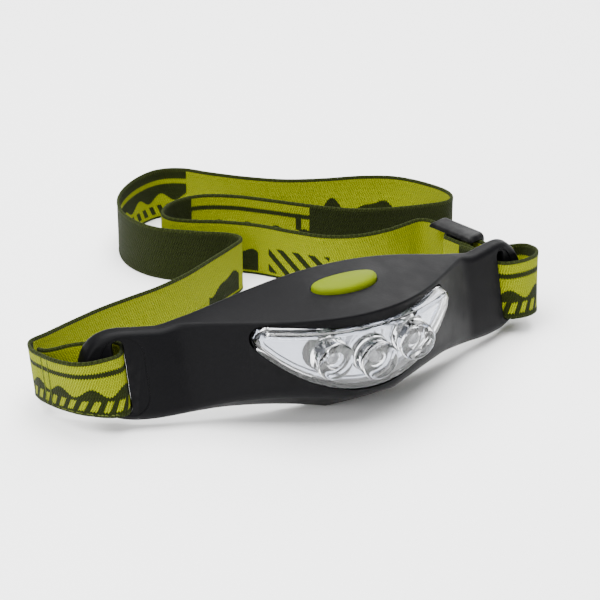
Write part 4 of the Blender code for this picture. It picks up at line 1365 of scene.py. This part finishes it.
@dataclass
class Studio:
    """The floor, the soft lights and the camera."""

    eye: tuple[float, float, float] = (-293.0, -548.7, 345.0)
    azimuth: float = math.radians(-27.5)
    elevation: float = math.radians(27)
    focal: float = 129.96
    sensor: float = 36.0
    ambient: float = 0.55
    lights: tuple = (("overhead", (-0.1, 0.05, 1.1), 1.3, 62.0),
                     ("left_front", (-0.9, -0.55, 0.55), 0.6, 9.0),
                     ("right_back", (0.7, 0.6, 0.7), 0.7, 9.0))
    aim: Vector = field(default_factory=lambda: Vector((0, 0, 0.02)))

    def floor(self) -> Piece:
        """A wide pale floor that fades into the backdrop."""
        mesh = bmesh.new()
        bmesh.ops.create_grid(mesh, x_segments=8, y_segments=8, size=6.0)
        floor = link_object("floor", mesh_data("floor", mesh))
        material, graph, shader = new_material("pale_floor")
        place = graph.add("ShaderNodeTexCoord").outputs["Object"]
        tone = graph.mix(graph.noise(place, 3.0), (0.91, 0.91, 0.91), (0.94, 0.94, 0.94))
        graph.feed(shader, {"Base Color": tone, "Roughness": 0.9})
        floor.data.materials.append(material)
        return floor

    def light(self, name: str, at: tuple[float, float, float], size: float, power: float) -> None:
        """A soft square light aimed at the lamp."""
        data = bpy.data.lights.new(name, "AREA")
        data.size = size
        data.energy = power
        lamp = link_object(name, data)
        lamp.location = at
        beam = self.aim - Vector(at)
        lamp.rotation_euler = beam.to_track_quat("-Z", "Y").to_euler()

    def camera(self, lamp_frame: LampFrame) -> None:
        """The camera, level and without shift."""
        right = Vector((math.cos(self.azimuth), math.sin(self.azimuth), 0))
        up = Vector((-math.sin(self.azimuth) * math.sin(self.elevation),
                     math.cos(self.azimuth) * math.sin(self.elevation), math.cos(self.elevation)))
        data = bpy.data.cameras.new("camera")
        data.lens = self.focal
        data.sensor_width = self.sensor
        camera = link_object("camera", data)
        camera.matrix_world = axes(right, up, right.cross(up),
                                   lamp_frame.matrix() @ Vector(self.eye))
        bpy.context.scene.camera = camera

    def build(self, lamp_frame: LampFrame) -> None:
        """Sets the stage."""
        self.floor()
        world = bpy.data.worlds.new("studio")
        world.use_nodes = True
        background = world.node_tree.nodes["Background"]
        background.inputs["Color"].default_value = (1.0, 1.0, 1.0, 1.0)
        background.inputs["Strength"].default_value = self.ambient
        bpy.context.scene.world = world
        for light in self.lights:
            self.light(*light)
        self.camera(lamp_frame)


def main() -> None:
    """Builds the pieces in order."""
    logging.basicConfig(level=logging.INFO, format="%(message)s")
    groups = SharedGroups()
    lamp_frame = LampFrame.from_model()
    workshop = Workshop(lamp_frame)
    casing, button = Casing(), Button()
    soft_touch = Finish("casing_soft_touch", (0.0018, 0.0018, 0.0023), (0.004, 0.004, 0.0045),
                        (0.42, 0.50), bump=0.16, tone=0.93, specular=0.07)
    rubber = Finish("button_rubber", (0.105, 0.14, 0.0), (0.12, 0.16, 0.0), (0.38, 0.5), bump=0.12,
                    tone=0.94, specular=0.05)
    clear = Finish("lens_clear", (0.96, 0.97, 0.98), (0.96, 0.97, 0.98), (0.02, 0.02), bump=0.0,
                   tone=1.0, transmission=1.0, ior=1.49)
    epoxy = Finish("led_epoxy", (0.07, 0.075, 0.085), (0.3, 0.3, 0.3), (0.08, 0.12), bump=0.0,
                   coat=0.5)
    thread = Finish("sewing_thread", (0.055, 0.07, 0.008), (0.08, 0.1, 0.02), (0.7, 0.9), bump=0.3,
                    grain=5200.0, specular=0.1)
    casing.make(workshop, button, soft_touch.build(groups))
    button.make(workshop, casing.shape, rubber.build(groups))
    LensCover().make(workshop, clear.build(groups))
    Lamps().make(workshop, epoxy.build(groups))
    woven = [BandFinish().build(face, groups) for face in Face]
    acetal = Finish("slider_charcoal", (0.004, 0.004, 0.0045), (0.012, 0.012, 0.012),
                    (0.30, 0.42), bump=0.12, specular=0.08)
    band = Band()
    Slider().make(workshop, band, acetal.build(groups))
    band.make(workshop, woven, thread.build(groups))
    dress_internals(groups)
    Studio().build(lamp_frame)


if __name__ == "__main__":
    main()
